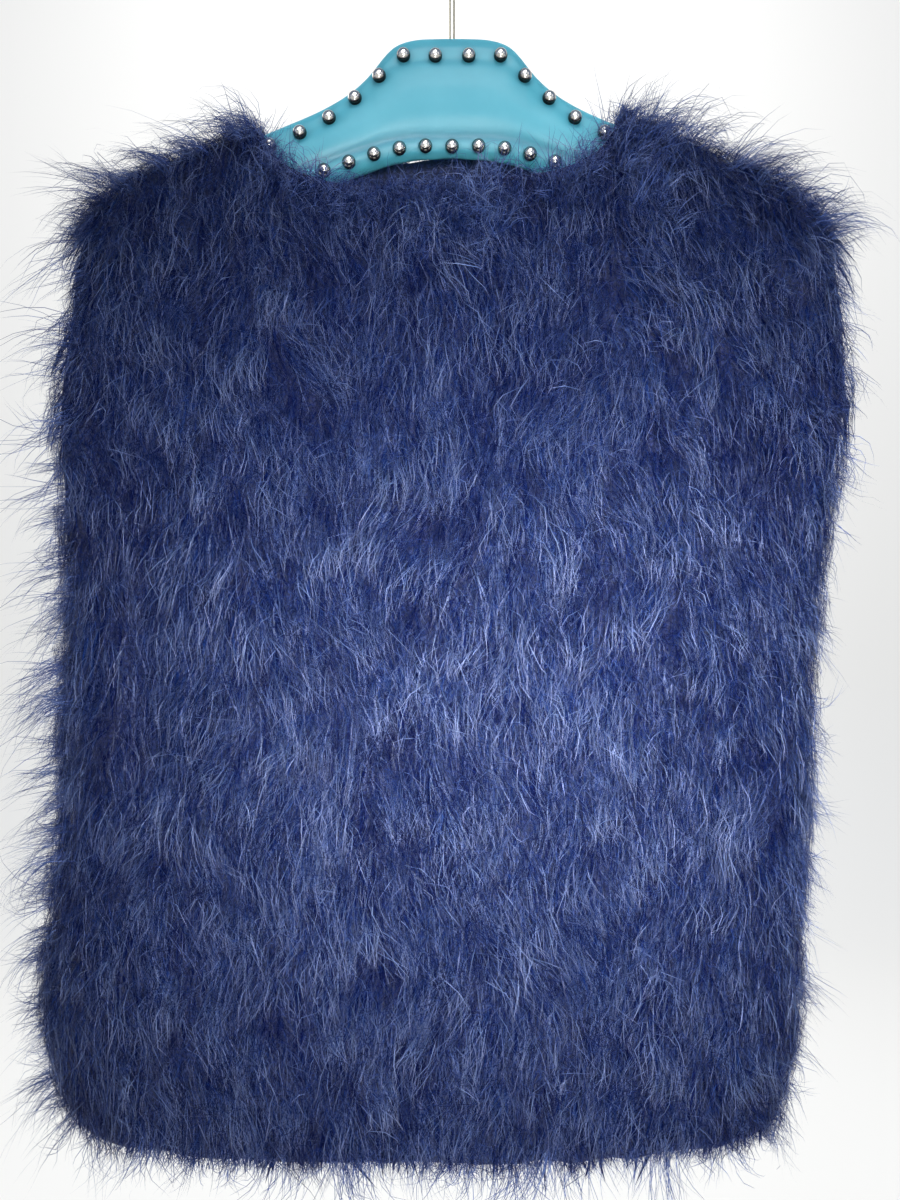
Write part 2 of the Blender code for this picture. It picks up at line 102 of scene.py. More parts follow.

# Layers of the lying pile; length and lift are shares of a guide hair's, start is how high in the
# pile its hairs may branch off, and pale is the share of hairs painted paler than the rest, a painted
# highlight of hairs that catch more light
Layer = namedtuple("Layer", "name hairs width length lift segments tone clump turn bend start pale")
FRONT_LAYERS = (
    Layer("under", 7000, 0.0019, 0.85, 0.55, 2, 0.00, 0.45, 0.16, 0.0020, 0.0, 0.0),
    Layer("matted", 165000, 0.00034, 0.34, 0.50, 1, 0.06, 0.06, 1.05, 0.0030, 1.15, 0.30),
    Layer("dense", 18000, 0.00040, 0.86, 1.00, 3, 0.30, 0.70, 0.36, 0.0050, 0.0, 0.14),
    Layer("top", 22000, 0.00042, 1.10, 1.30, 4, 0.84, 0.78, 0.50, 0.0115, 0.0, 0.15),
)
# The back has fewer and thicker hairs: their number and width in each layer
BACK_HAIRS = ((6000, 0.0020), (80000, 0.00048), (11000, 0.00054), (11000, 0.00052))
BACK_LAYERS = tuple(layer._replace(hairs=hairs, width=width)
                    for layer, (hairs, width) in zip(FRONT_LAYERS, BACK_HAIRS))

# How the strands of a lock follow it, in the same terms as a layer
Fine = namedtuple("Fine", "length lift clump turn bend")
STRAND = Fine(1.0, 1.0, 0.82, 0.26, 0.004)
LENGTHS = (0.72, 1.12)  # shares between which hairs differ in length, lift and clumping
LIFTS = (0.65, 1.35)
CLUMPS = (0.4, 1.25)
GUIDE_STEPS = 10
GUIDE_SAMPLES = 24000  # points of the knit that guide hairs are laid on
RISE_POWER = 2.2  # how fast a guide hair rises off the knit
TIP_SAG = 0.20  # share of its lift that it loses again at its tip
TWIST = math.radians(34.0)  # how much the hairs' flat sides turn out of the knit's plane

# Past the hem: usual overhang of a hair, and the share of hairs that hang lower, between two lengths
HEM_OVERHANG = 0.0036
HEM_LONG_SHARE = 0.08
HEM_LONG = (0.006, 0.024)
PROUD_SHARE = 0.03  # share of a side, and a length, by which hair may pass the solids
PROUD = 0.008

# The two panels of the vest; facing is the side of Y that a panel lies on
Panel = namedtuple("Panel", "node name facing seed layers")
FRONT = Panel("vest_front", "front", -1.0, 11, FRONT_LAYERS)
BACK = Panel("vest_back", "back", 1.0, 29, BACK_LAYERS)
PANELS = (FRONT, BACK)

# Upright troughs of the front where the pile parts and lies low, and painted shade darkens it
Trough = namedtuple("Trough", "x top bottom width depth")
TROUGHS = (
    Trough(-0.040, -0.215, -0.340, 0.120, 0.22),
    Trough(-0.165, -0.330, -0.620, 0.060, 0.15),
    Trough(-0.190, -0.300, -0.560, 0.017, 0.60),
    Trough(0.172, -0.310, -0.400, 0.014, 0.45),
    Trough(-0.085, -0.660, -0.740, 0.015, 0.35),
    Trough(0.060, -0.700, -0.760, 0.013, 0.30),
)
TROUGH_END = 0.06  # length over which a trough fades at either end
TROUGH_SHADE = 0.75  # painted shade: how much darker the hair in a trough is
RELIEF = 0.55  # how much the locks differ in lift, over places of this size
RELIEF_SIZE = 0.024
RELIEF_SCALE = (1.0, 1.0, 0.35)  # makes those places longer than wide
PATCH_SIZE = 0.050  # size of the paler and darker patches of the pile
PATCH_TONE = 0.10
EDGE_TONE = 0.18  # how much paler the pile is towards the sides
PALE_TONE = 0.50  # how much paler the pale hairs are painted, a painted highlight
LOCK_SHADE = 0.66  # painted shade: how much darker a lock is at its rim than in its middle
MAT_TONE = 0.40  # share of a lock's tone that the hairs between the locks take on
LOCK_SCATTER = 0.20  # how much locks, strands and hairs differ in tone
STRAND_SCATTER = 0.12
HAIR_SCATTER = 0.15

# Loose tufts beyond the lying pile. A tuft starts in one direction and ends in another;
# out is along the knit's normal, aside is away from the vest's middle, down is down
Tuft = namedtuple("Tuft", "name tufts hairs short long out aside down end_out end_aside end_down stray")
TUFTS = (
    Tuft("left_side", 1000, 9, 0.008, 0.054, 0.40, 0.80, 0.25, 0.00, 0.60, 0.85, 0.45),
    Tuft("right_side", 800, 9, 0.008, 0.028, 0.40, 0.60, 0.70, 0.00, 0.25, 1.00, 0.42),
    Tuft("shoulders", 520, 10, 0.016, 0.056, 0.95, 0.50, -0.10, -0.15, 0.90, 0.65, 0.42),
    Tuft("neck_points", 190, 10, 0.018, 0.046, 0.70, 0.15, -0.75, 0.10, 0.55, 0.20, 0.60),
    Tuft("hem", 300, 14, 0.010, 0.044, 0.25, 0.10, 1.00, -0.10, 0.05, 0.90, 0.55),
    Tuft("neckline", 900, 6, 0.014, 0.028, 0.50, -0.15, -0.55, 0.40, -0.30, 0.45, 0.90),
    Tuft("over_hanger", 60, 4, 0.018, 0.034, 0.60, -0.80, -0.15, 0.10, -0.80, 0.50, 0.50),
    Tuft("inside_neck", 260, 5, 0.014, 0.026, -0.60, 0.00, 0.20, -0.20, 0.00, 0.70, 0.85),
)
ONE_PANEL = {"over_hanger": "front", "inside_neck": "back"}  # tufts that only one panel has

# Where tufts start. Near an edge, or else between near and far from the neck's middle, at most this
# far below the top edge, and where the knit's normal points up by more than up
EDGE_ZONES = {"left_side": 0.010, "right_side": 0.010, "hem": 0.012}
Zone = namedtuple("Zone", "near far below up")
NECK_ZONES = {
    "shoulders": Zone(0.105, NO_LIMIT, NO_LIMIT, 0.30),
    "neck_points": Zone(0.100, 0.140, NO_LIMIT, 0.15),
    "neckline": Zone(-NO_LIMIT, 0.115, 0.020, -NO_LIMIT),
    "over_hanger": Zone(0.088, 0.125, 0.030, -NO_LIMIT),
    "inside_neck": Zone(-NO_LIMIT, 0.112, 0.070, -NO_LIMIT),
}
TUFT_POOL = 60000  # points of the knit from which tufts are picked
TUFT_SPREAD = 0.0030  # how far a tuft's roots lie from its middle
TUFT_CURL = 0.0060  # how far a tuft sways from its course
TUFT_WIDTH = 0.00036
# Tone of the tufts: their own tone, and paler by painted light shining through the thin hair from behind
TUFT_TONE_AND_GLOW = 0.68
HAIR_CURL = 0.0026  # how far a hair sways from its tuft
HAIR_TURN = 0.30  # how far a hair turns from its tuft
WISP_SIZE = 0.022  # size of the places where tufts are longer or shorter
WISPS = (0.5, 1.7)  # least and most share of a tuft's length there
BACK_TUFTS = 0.70  # share of the tufts' hairs that the back has
TUFT_SEGMENTS = 5

# Distance of the stud rows from the hanger's edges
StudRow = namedtuple("StudRow", "x from_top from_bottom")
STUD_ROWS = (
    StudRow(0.000, 0.0170, 0.0050),
    StudRow(0.030, 0.0165, 0.0062),
    StudRow(0.047, 0.0090, 0.0066),
    StudRow(0.066, 0.0088, 0.0066),
    StudRow(0.085, 0.0118, 0.0066),
    StudRow(0.105, 0.0128, 0.0066),
)
STUD_DENT = 0.0004  # how far a stud presses the leather in, and over what width
STUD_DENT_WIDTH = 0.0060
STUD_SHADE_WIDTH = 0.0062  # width of the painted shade on the leather round a stud
STUD_LIFT = 0.0004  # how far a stud stands off its seat
STUD_CUT = 0.45  # share of its radius below its middle where a stud's ball is cut off
STUD_SKIRT = ((0.16, 0.90), (0.40, 0.92))  # steps down into the leather: drop and narrowing
STUD_EDGE = math.radians(40.0)  # edges sharper than this stay sharp
VALLEY_WIDTH = 0.0050
CREASE_WIDTH = 0.0030
CREASE_END = 0.125  # where the crease ends along X, and the length over which it fades
CREASE_FADE = 0.030
PADDED_END = 0.110  # where the padded face ends along X, and the length over which it fades
PADDED_FADE = 0.040
PADDED_TOP = 0.020  # from the upper row, and from the crease, up to the full swell of the face
PADDED_LOW = 0.018
# Painted dark rim of a stud: a painted reflection of the dark leather and fur round it, and painted shade
# at its seat
PAINTED_RIM = ((0.50, 0.02), (0.62, 0.12), (0.72, 0.85), (0.80, 1.0))  # place on a stud's map, brightness

# Rounding of the hook's end: steps ahead, and how much narrower each is
HOOK_END = ((0.0008, 0.88), (0.0007, 0.70), (0.0004, 0.40))
HOOK_BEND = math.radians(60.0)
HOOK_ROUND = math.radians(263.0)
HOOK_TIP = math.radians(203.0)  # where the round part ends, from +X towards +Z
HOOK_NEAR = 0.0002  # the face that closes the tip lies this close to it
HOOK_EDGE = math.radians(50.0)


def linear(hex_colour):
    """An sRGB hex colour as linear red, green and blue."""
    parts = [int(hex_colour[k:k + 2], 16) / 255.0 for k in (1, 3, 5)]
    return tuple(p / 12.92 if p <= 0.04045 else ((p + 0.055) / 1.055) ** 2.4 for p in parts)


def size_setting(label, description, default, **limits):
    """A length among the settings."""
    return FloatProperty(name=label, description=description, default=default, unit="LENGTH", **limits)


def colour_setting(label, description, hex_colour):
    """A colour among the settings."""
    return FloatVectorProperty(name=label, description=description, subtype="COLOR",
                               default=linear(hex_colour))


class VEST_PG_knit(bpy.types.PropertyGroup):
    """Sizes and colours of the knit under the pile."""

    thickness: size_setting("Thickness", "Thickness of the knit without its pile", 0.0026,
                            min=0.001, max=0.004)
    stitch_width: size_setting("Stitch width", "Width of one knit stitch", 0.0045)
    stitch_height: size_setting("Stitch height", "Height of one knit row", 0.0034)
    yarn: colour_setting("Yarn", "Colour of the yarn", "#1f2a58")
    yarn_gap: colour_setting("Gaps", "Colour between the stitches", "#0f1634")


class VEST_PG_pile(bpy.types.PropertyGroup):
    """Sizes and colours of the long pile."""

    length: size_setting("Hair length", "Usual length of a hair", 0.034)
    lift: size_setting("Lift", "How far a lying hair stands off the knit", 0.0078)
    lock_spacing: size_setting("Lock spacing", "Distance between the locks", 0.0118)
    strand_spacing: size_setting("Strand spacing", "Distance between strands in a lock", 0.0042)
    deep: colour_setting("Deep", "Colour of the darkest hair", "#010a3a")
    middle: colour_setting("Middle", "Colour of most hair", "#21376a")
    bright: colour_setting("Bright", "Colour of the lightest hair", "#727896")


class VEST_PG_hanger(bpy.types.PropertyGroup):
    """Sizes and colours of the hanger, its studs and its hook."""

    voxel: size_setting("Remesh size", "Fineness of the padded cover's mesh", 0.0020)
    crease: size_setting("Crease", "From the lower row of studs up to the crease above it", 0.0050)
    valley: size_setting("Valley", "How deep the leather is pulled in along the studs", 0.0010)
    padding: size_setting("Padding", "How far the face swells between the bands", 0.0018)
    stud_radius: size_setting("Stud radius", "Radius of a stud's ball", 0.0044)
    wire_radius: size_setting("Wire radius", "Radius of the hook's wire", 0.0020)
    hook_radius: size_setting("Hook radius", "Inner radius of the hook", 0.0190)
    leather: colour_setting("Leather", "Colour of the leather", "#48a0b2")
    leather_worn: colour_setting("Worn leather", "Colour where the leather is pulled", "#53a7b8")
    nickel: colour_setting("Nickel", "Colour of the studs", "#ece8e0")
    wire: colour_setting("Wire", "Colour of the hook's wire", "#f0e6cc")


class VEST_PG_stage(bpy.types.PropertyGroup):
    """Camera, light and backdrop."""

    distance: size_setting("Camera distance", "From the camera to the hanger's plane", 0.62)
    height: size_setting("Camera height", "Height of the camera", -0.4433)
    lens: FloatProperty(name="Lens", description="Focal length for a 36 mm long side", default=28.86,
                        unit="CAMERA")
    floor: size_setting("Floor", "Height of the floor", -1.60)
    wall: size_setting("Wall", "Distance of the backdrop behind the vest", 3.2)
    key_power: FloatProperty(name="Key light", description="Power of the light by the camera",
                             default=2.55, unit="POWER")
    paper: colour_setting("Backdrop", "Colour of the floor and backdrop", "#f1f0ed")


def smooth(value):
    """Ease from 0 to 1 while value goes from 0 to 1."""
    value = np.clip(value, 0.0, 1.0)
    return value * value * (3.0 - 2.0 * value)


def unit(vectors):
    """Vectors of length one."""
    length = np.linalg.norm(vectors, axis=-1, keepdims=True)
    return vectors / np.maximum(length, 1e-9)


def only(obj):
    """Make an object the only selected one, and active."""
    bpy.ops.object.select_all(action="DESELECT")
    obj.select_set(True)
    bpy.context.view_layer.objects.active = obj


def edit(obj, pick=None):
    """Open an object in edit mode with the faces selected for which pick is true, or all."""
    only(obj)
    bpy.ops.object.mode_set(mode="EDIT")
    bpy.ops.mesh.select_mode(type="FACE")
    bpy.ops.mesh.select_all(action="SELECT" if pick is None else "DESELECT")
    if pick is not None:
        bpy.ops.object.mode_set(mode="OBJECT")
        for face in obj.data.polygons:
            face.select = bool(pick(face))
        bpy.ops.object.mode_set(mode="EDIT")


def leave_edit():
    """Return to object mode."""
    bpy.ops.object.mode_set(mode="OBJECT")


def apply_modifier(obj, kind, **settings):
    """Add a modifier with its settings and apply it."""
    modifier = obj.modifiers.new(kind.lower(), kind)
    for key, value in settings.items():
        setattr(modifier, key, value)
    only(obj)
    bpy.ops.object.modifier_apply(modifier=modifier.name)


def shade_smooth(obj):
    """Shade an object smoothly."""
    only(obj)
    bpy.ops.object.shade_smooth()


def copy_of(node, name):
    """A new object with a merged copy of a node's mesh."""
    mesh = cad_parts[node].data.copy()
    mesh.name = name
    mesh.materials.clear()
    obj = bpy.data.objects.new(name, mesh)
    bpy.context.scene.collection.objects.link(obj)
    edit(obj)
    bpy.ops.mesh.remove_doubles(threshold=MERGE)
    leave_edit()
    return obj


def finish_piece(obj, material, replaced=()):
    """Give a finished piece its material, its body and the nodes it stands for."""
    obj.data.materials.clear()
    obj.data.materials.append(material)
    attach(obj, BODY)
    if replaced:
        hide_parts(*replaced)


def connect(material, node, links):
    """Link sockets of other nodes to a node's inputs."""
    for key, socket in links.items():
        material.node_tree.links.new(socket, node.inputs[key])


def add_node(material, kind, values=None, links=None, **settings):
    """Add a shader node: settings on it, values in its inputs, links from other sockets."""
    node = material.node_tree.nodes.new(kind)
    for key, value in settings.items():
        setattr(node, key, value)
    for key, value in (values or {}).items():
        node.inputs[key].default_value = value
    connect(material, node, links or {})
    return node


def ramp(material, value, *stops):
    """The socket of a colour that a value picks between stops, each a place and a colour."""
    node = add_node(material, "ShaderNodeValToRGB", links={"Fac": value})
    elements = node.color_ramp.elements
    while len(elements) < len(stops):
        elements.new(0.5)
    for element, (place, colour) in zip(elements, stops):
        element.position = place
        element.color = (*colour, 1.0)
    return node.outputs["Color"]


def grey(share):
    """A grey that takes a share of a colour when it is multiplied with it."""
    return (share,) * 3


def multiplied(material, first, second):
    """The socket of one colour times another."""
    mix = add_node(material, "ShaderNodeMix", data_type="RGBA", blend_type="MULTIPLY",
                   values={"Factor": 1.0}, links={"A": first, "B": second})
    return mix.outputs["Result"]


def split(material, vector):
    """The sockets of a vector's parts."""
    return add_node(material, "ShaderNodeSeparateXYZ", links={"Vector": vector}).outputs


def worn(material, place, size, detail, low, high):
    """The sockets of a cloudy wear with spots of a given size, and of its roughness from low to high."""
    cloud = add_node(material, "ShaderNodeTexNoise", values={"Scale": 1.0 / size, "Detail": detail},
                     links={"Vector": place.outputs["Object"]}).outputs["Fac"]
    gloss = add_node(material, "ShaderNodeMapRange", values={"To Min": low, "To Max": high},
                     links={"Value": cloud})
    return cloud, gloss.outputs["Result"]


def new_material(name, **values):
    """A Principled material with plain values on its sockets."""
    material = bpy.data.materials.new(name)
    material.use_nodes = True
    shader = material.node_tree.nodes["Principled BSDF"]
    for key, value in values.items():
        shader.inputs[key.replace("_", " ").title().replace("Ior", "IOR")].default_value = value
    return material, shader


def pile_material(name, pile, root, half, gloss):
    """Brushed long-haired yarn with a soft gloss: each hair has its own tone, and painted shade darkens it
    at its root and half way along by the shares given, but keeps more of its blue there."""
    material, shader = new_material(name, roughness=0.46, specular_tint=(0.52, 0.60, 0.95, 1.0),
                                    specular_ior_level=gloss, sheen_weight=0.06, sheen_roughness=0.45,
                                    sheen_tint=(0.40, 0.52, 1.0, 1.0))
    place = add_node(material, "ShaderNodeUVMap", uv_map="strand").outputs["UV"]
    parts = split(material, place)
    tone = ramp(material, parts["X"], (0.0, pile.deep), (0.5, pile.middle), (1.0, pile.bright))
    shade = ramp(material, parts["Y"], (0.0, (root * 0.4, root, root * 2.4)),
                 (0.45, (half * 0.72, half, half * 1.3)), (1.0, grey(1.0)))
    streak_place = add_node(material, "ShaderNodeMapping", values={"Scale": (260.0, 5.0, 1.0)},
                            links={"Vector": place})
    streak = add_node(material, "ShaderNodeTexNoise", noise_dimensions="2D",
                      values={"Scale": 1.0, "Detail": 2.0},
                      links={"Vector": streak_place.outputs["Vector"]})
    streaks = ramp(material, streak.outputs["Fac"], (0.30, grey(0.55)), (0.70, grey(1.0)))
    shaded = multiplied(material, tone, shade)
    connect(material, shader, {"Base Color": multiplied(material, shaded, streaks)})
    return material


def knit_material(knit):
    """Stocking stitch in the same yarn: columns of small V stitches, dull and dark under the pile."""
    material, shader = new_material("stocking_stitch_knit", roughness=0.88, sheen_weight=0.15)
    place = add_node(material, "ShaderNodeTexCoord")
    scaled = add_node(material, "ShaderNodeMapping",
                      values={"Scale": (1.0 / knit.stitch_width, 1.0, 1.0 / knit.stitch_height)},
                      links={"Vector": place.outputs["Object"]})
    parts = split(material, scaled.outputs["Vector"])
    column = add_node(material, "ShaderNodeMath", operation="PINGPONG", values={1: 0.5},
                      links={0: parts["X"]}).outputs["Value"]
    slant = add_node(material, "ShaderNodeMath", operation="ADD", links={0: column, 1: parts["Z"]})
    row = add_node(material, "ShaderNodeMath", operation="PINGPONG", values={1: 0.5},
                   links={0: slant.outputs["Value"]})
    height = add_node(material, "ShaderNodeMath", operation="MULTIPLY",
                      links={0: row.outputs["Value"], 1: column}).outputs["Value"]
    bump = add_node(material, "ShaderNodeBump", values={"Strength": 0.6, "Distance": 0.001},
                    links={"Height": height})
    colour = ramp(material, height, (0.0, knit.yarn_gap), (0.16, knit.yarn))
    connect(material, shader, {"Base Color": colour, "Normal": bump.outputs["Normal"]})
    return material


def leather_material(hanger):
    """Dyed smooth leather: an even turquoise with fine pores, a soft gloss, paler where it is stretched,
    and darkened by painted shade in its crease and round its studs.
    """
    material, shader = new_material("dyed_smooth_leather", ior=1.48)
    place = add_node(material, "ShaderNodeTexCoord")
    cloud, gloss = worn(material, place, size=0.035, detail=3.0, low=0.38, high=0.50)
    dye = ramp(material, cloud, (0.35, hanger.leather), (0.75, hanger.leather_worn))
    # Painted shade: darker and bluer leather in the crease and round each stud
    fold = add_node(material, "ShaderNodeAttribute", attribute_name=PAINTED_SHADE)
    depth = ramp(material, fold.outputs["Fac"], (0.0, grey(1.0)), (1.0, (0.30, 0.52, 0.60)))
    pores = add_node(material, "ShaderNodeTexVoronoi", feature="DISTANCE_TO_EDGE",
                     values={"Scale": 1.0 / 0.0011}, links={"Vector": place.outputs["Object"]})
    bump = add_node(material, "ShaderNodeBump", values={"Strength": 0.10, "Distance": 0.0002},
                    links={"Height": pores.outputs["Distance"]})
    connect(material, shader, {"Base Color": multiplied(material, dye, depth), "Roughness": gloss,
                               "Normal": bump.outputs["Normal"]})
    return material


def metal_material(name, colour, low, high, scratch, seated=False):
    """Plated metal: low to high are its roughness, and scratch is the size of its fine wear. A seated
    piece has a painted dark rim where it meets the leather, by the height on its map: a painted
    reflection of the dark leather and fur round it, and painted shade at its seat."""
    material, shader = new_material(name, metallic=1.0)
    place = add_node(material, "ShaderNodeTexCoord")
    wear, gloss = worn(material, place, scratch, 4.0, low, high)
    shade = ramp(material, wear, (0.2, [0.85 * c for c in colour]), (0.8, colour))
    if seated:
        height = add_node(material, "ShaderNodeUVMap", uv_map=STUD_MAP)
        up = split(material, height.outputs["UV"])["Y"]
        # painted dark rim where the stud meets the leather
        painted_rim = ramp(material, up, *((at, grey(share)) for at, share in PAINTED_RIM))
        shade = multiplied(material, shade, painted_rim)
    connect(material, shader, {"Roughness": gloss, "Base Color": shade})
    return material


def inside_face(panel, name):
    """The inside face of a panel's wall as a new open mesh that faces outwards."""
    obj = copy_of(panel.node, name)
    low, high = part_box(panel.node)
    middle = (low + high) / 2
    inner = [face for face in obj.data.polygons if face.normal.y * panel.facing < -0.7]
    seed = min(inner, key=lambda face: (face.center - middle).length).index
    edit(obj, lambda face: face.index == seed)
    bpy.ops.mesh.faces_select_linked_flat(sharpness=RIM_ANGLE)
    bpy.ops.mesh.select_all(action="INVERT")
    bpy.ops.mesh.delete(type="FACE")
    bpy.ops.mesh.select_all(action="SELECT")
    bpy.ops.mesh.flip_normals()
    bpy.ops.mesh.tris_convert_to_quads()
    leave_edit()
    for vertex in obj.data.vertices:
        if abs(vertex.co.y) < SEAM_GAP:
            vertex.co.y = 0.0
    return obj


Skin = namedtuple("Skin", "points faces normals area")


def coordinates(mesh, kind="co"):
    """Places or normals of a mesh's vertices, a row for each."""
    values = np.empty(len(mesh.vertices) * 3)
    mesh.vertices.foreach_get(kind, values)
    return values.reshape(-1, 3)


def panel_skin(panel, knit):
    """A panel's knit as arrays: points of its inside face moved out to where hairs grow, triangles,
    normals and the area of each triangle."""
    obj = inside_face(panel, "skin")
    mesh = obj.data
    mesh.calc_loop_triangles()
    faces = np.empty(len(mesh.loop_triangles) * 3, dtype=np.int32)
    mesh.loop_triangles.foreach_get("vertices", faces)
    faces = faces.reshape(-1, 3)
    normals = unit(coordinates(mesh, "normal"))
    points = coordinates(mesh) + normals * (knit.thickness * PILE_ROOT)
    bpy.data.objects.remove(obj)
    bpy.data.meshes.remove(mesh)
    first, second, third = (points[faces[:, k]] for k in range(3))
    area = np.linalg.norm(np.cross(second - first, third - first), axis=1) / 2
    return Skin(points, faces, normals, area)


def scatter(skin, count, rng):
    """Roots spread evenly by area over a skin, with the normals there."""
    picked = skin.faces[rng.choice(len(skin.area), size=count, p=skin.area / skin.area.sum())]
    share = rng.dirichlet((1.0, 1.0, 1.0), size=count)
    roots = np.einsum("ij,ijk->ik", share, skin.points[picked])
    normals = np.einsum("ij,ijk->ik", share, skin.normals[picked])
    return roots, unit(normals)


def tree_of(points):
    """A search tree over points."""
    tree = kdtree.KDTree(len(points))
    for index, point in enumerate(points):
        tree.insert(point, index)
    tree.balance()
    return tree


def nearest(tree, targets):
    """For each target the index of the nearest point of a tree."""
    return np.array([tree.find(point)[1] for point in targets])


def wander(points, size, start):
    """Smooth noise at points, from about -1 to 1, with bumps of a given size."""
    scaled = points / size + start
    return np.array([noise.noise(point) for point in scaled])


def trough_share(points):
    """How much the pile lies low at points of the front, from 0 to 1."""
    share = np.zeros(len(points))
    for trough in TROUGHS:
        aside = np.exp(-((points[:, 0] - trough.x) / trough.width) ** 2)
        above = smooth((trough.top - points[:, 2]) / TROUGH_END + 0.5)
        below = smooth((points[:, 2] - trough.bottom) / TROUGH_END + 0.5)
        share = np.maximum(share, trough.depth * aside * above * below)
    return share


def edge_line(points, keep, start, columns, along=0, across=2):
    """Places along one axis and how far points reach across it there. keep is np.minimum or np.maximum,
    and start is the reach of a column without points."""
    marks = np.linspace(points[:, along].min(), points[:, along].max(), columns)
    index = np.clip(np.searchsorted(marks, points[:, along]) - 1, 0, columns - 2)
    reach = np.full(columns - 1, start)
    keep.at(reach, index, points[:, across])
    return (marks[:-1] + marks[1:]) / 2, reach


def skin_edge(skin, keep, along=0, across=2):
    """An edge of a skin as places along one axis and its reach across it."""
    return edge_line(skin.points, keep, skin.points[:, across].mean(), SKIN_COLUMNS, along, across)


def side_reach(points):
    """How far points lie from the vest's middle towards its sides, from -1 to 1."""
    middle = (CAD_BOX[0].x + CAD_BOX[1].x) / 2
    half = (CAD_BOX[1].x - CAD_BOX[0].x) / 2
    return (points[:, 0] - middle) / half


def comb(points, normals):
    """Direction in which the hair is combed at points of the knit."""
    flow = np.zeros_like(points)
    flow[:, 2] = -1.0
    reach = side_reach(points)
    flow[:, 0] += SIDE_LEAN * np.sign(reach) * smooth((np.abs(reach) - 0.55) / 0.4)
    for crown in CROWNS:
        away = points - np.array((crown.x, 0.0, crown.z))
        away[:, 1] *= 0.3
        distance = np.linalg.norm(away, axis=1, keepdims=True)
        flow += away / (distance + 0.005) * crown.pull * np.exp(-(distance / crown.reach) ** 2)
    turn = sum(swirl.turn * wander(points, swirl.size, swirl.start) for swirl in SWIRLS)[:, None]
    flow = flow * np.cos(turn) + np.cross(normals, flow) * np.sin(turn)
    flow -= normals * np.sum(flow * normals, axis=1, keepdims=True)
    return unit(flow)


def guide_paths(skin, roots, lengths, lifts, rng):
    """Guide hairs that follow the comb over the knit and rise off it."""
    samples, sample_normals = scatter(skin, GUIDE_SAMPLES, rng)
    tree = tree_of(samples)
    ground = roots.copy()
    paths = [roots]
    for step in range(1, GUIDE_STEPS + 1):
        found = nearest(tree, ground)
        normals = sample_normals[found]
        ground = ground + comb(ground, normals) * (lengths / GUIDE_STEPS)[:, None]
        off = np.sum((ground - samples[found]) * normals, axis=1, keepdims=True)
        ground = ground - normals * off
        t = step / GUIDE_STEPS
        rise = (1.0 - (1.0 - t) ** RISE_POWER) * (1.0 - TIP_SAG * t)
        paths.append(ground + normals * (lifts * rise)[:, None])
    return np.stack(paths, axis=1)


def turned(courses, axes, angles):
    """Courses turned about an axis each."""
    cos, sin = (f(angles)[:, None, None] for f in (np.cos, np.sin))
    axes = np.broadcast_to(axes[:, None], courses.shape)
    along = np.sum(courses * axes, axis=-1, keepdims=True)
    return courses * cos + np.cross(axes, courses) * sin + axes * along * (1.0 - cos)


def child_paths(parents, found, roots, normals, rng, layer):
    """Hairs that take the course of the nearest parent and gather towards its tip."""
    count = len(roots)
    courses = parents[found] - parents[found][:, :1]
    courses = turned(courses, normals, rng.normal(0.0, layer.turn, count))
    courses *= (layer.length * rng.uniform(*LENGTHS, count))[:, None, None]
    rise = np.sum(courses * normals[:, None], axis=-1, keepdims=True) * normals[:, None]
    courses += rise * (layer.lift * rng.uniform(*LIFTS, count) - 1.0)[:, None, None]
    t = np.linspace(0.0, 1.0, courses.shape[1])
    side = unit(np.cross(normals, courses[:, -1]))
    sway = rng.normal(0.0, layer.bend, count)[:, None] * t ** 2
    sway += rng.normal(0.0, layer.bend * 0.45, count)[:, None] * np.sin(2.0 * math.pi * t)
    paths = roots[:, None] + courses + side[:, None] * sway[..., None]
    pull = (layer.clump * rng.uniform(*CLUMPS, count)).clip(0.0, 0.95)[:, None] * smooth(t)
    return paths + (parents[found] - paths) * pull[..., None]


def trimmed(paths, edge, rng):
    """Hairs that would hang past the hem, shortened to end near its edge."""
    places, heights = edge
    count = len(paths)
    over = rng.exponential(HEM_OVERHANG, count)
    long = rng.random(count) < HEM_LONG_SHARE
    over[long] = rng.uniform(*HEM_LONG, count)[long]
    lowest = np.interp(paths[:, -1, 0], places, heights) - over
    root, tip = paths[:, 0, 2], paths[:, -1, 2]
    share = np.where(tip < lowest, (root - lowest) / np.maximum(root - tip, 1e-6), 1.0).clip(0.10, 1.0)
    return paths[:, :1] + (paths - paths[:, :1]) * share[:, None, None]


def resampled(paths, segments):
    """Paths with another number of segments."""
    at = np.linspace(0.0, paths.shape[1] - 1.0, segments + 1)
    low = np.minimum(at.astype(int), paths.shape[1] - 2)
    part = (at - low)[None, :, None]
    return paths[:, low] * (1.0 - part) + paths[:, low + 1] * part


def room_for_pile():
    """Lowest and highest corner that the hair may reach: fur may stand a little proud of the solids."""
    low, high = (np.array(corner) for corner in CAD_BOX)
    room = PROUD_SHARE * (high - low) + PROUD
    return low - room, high + room


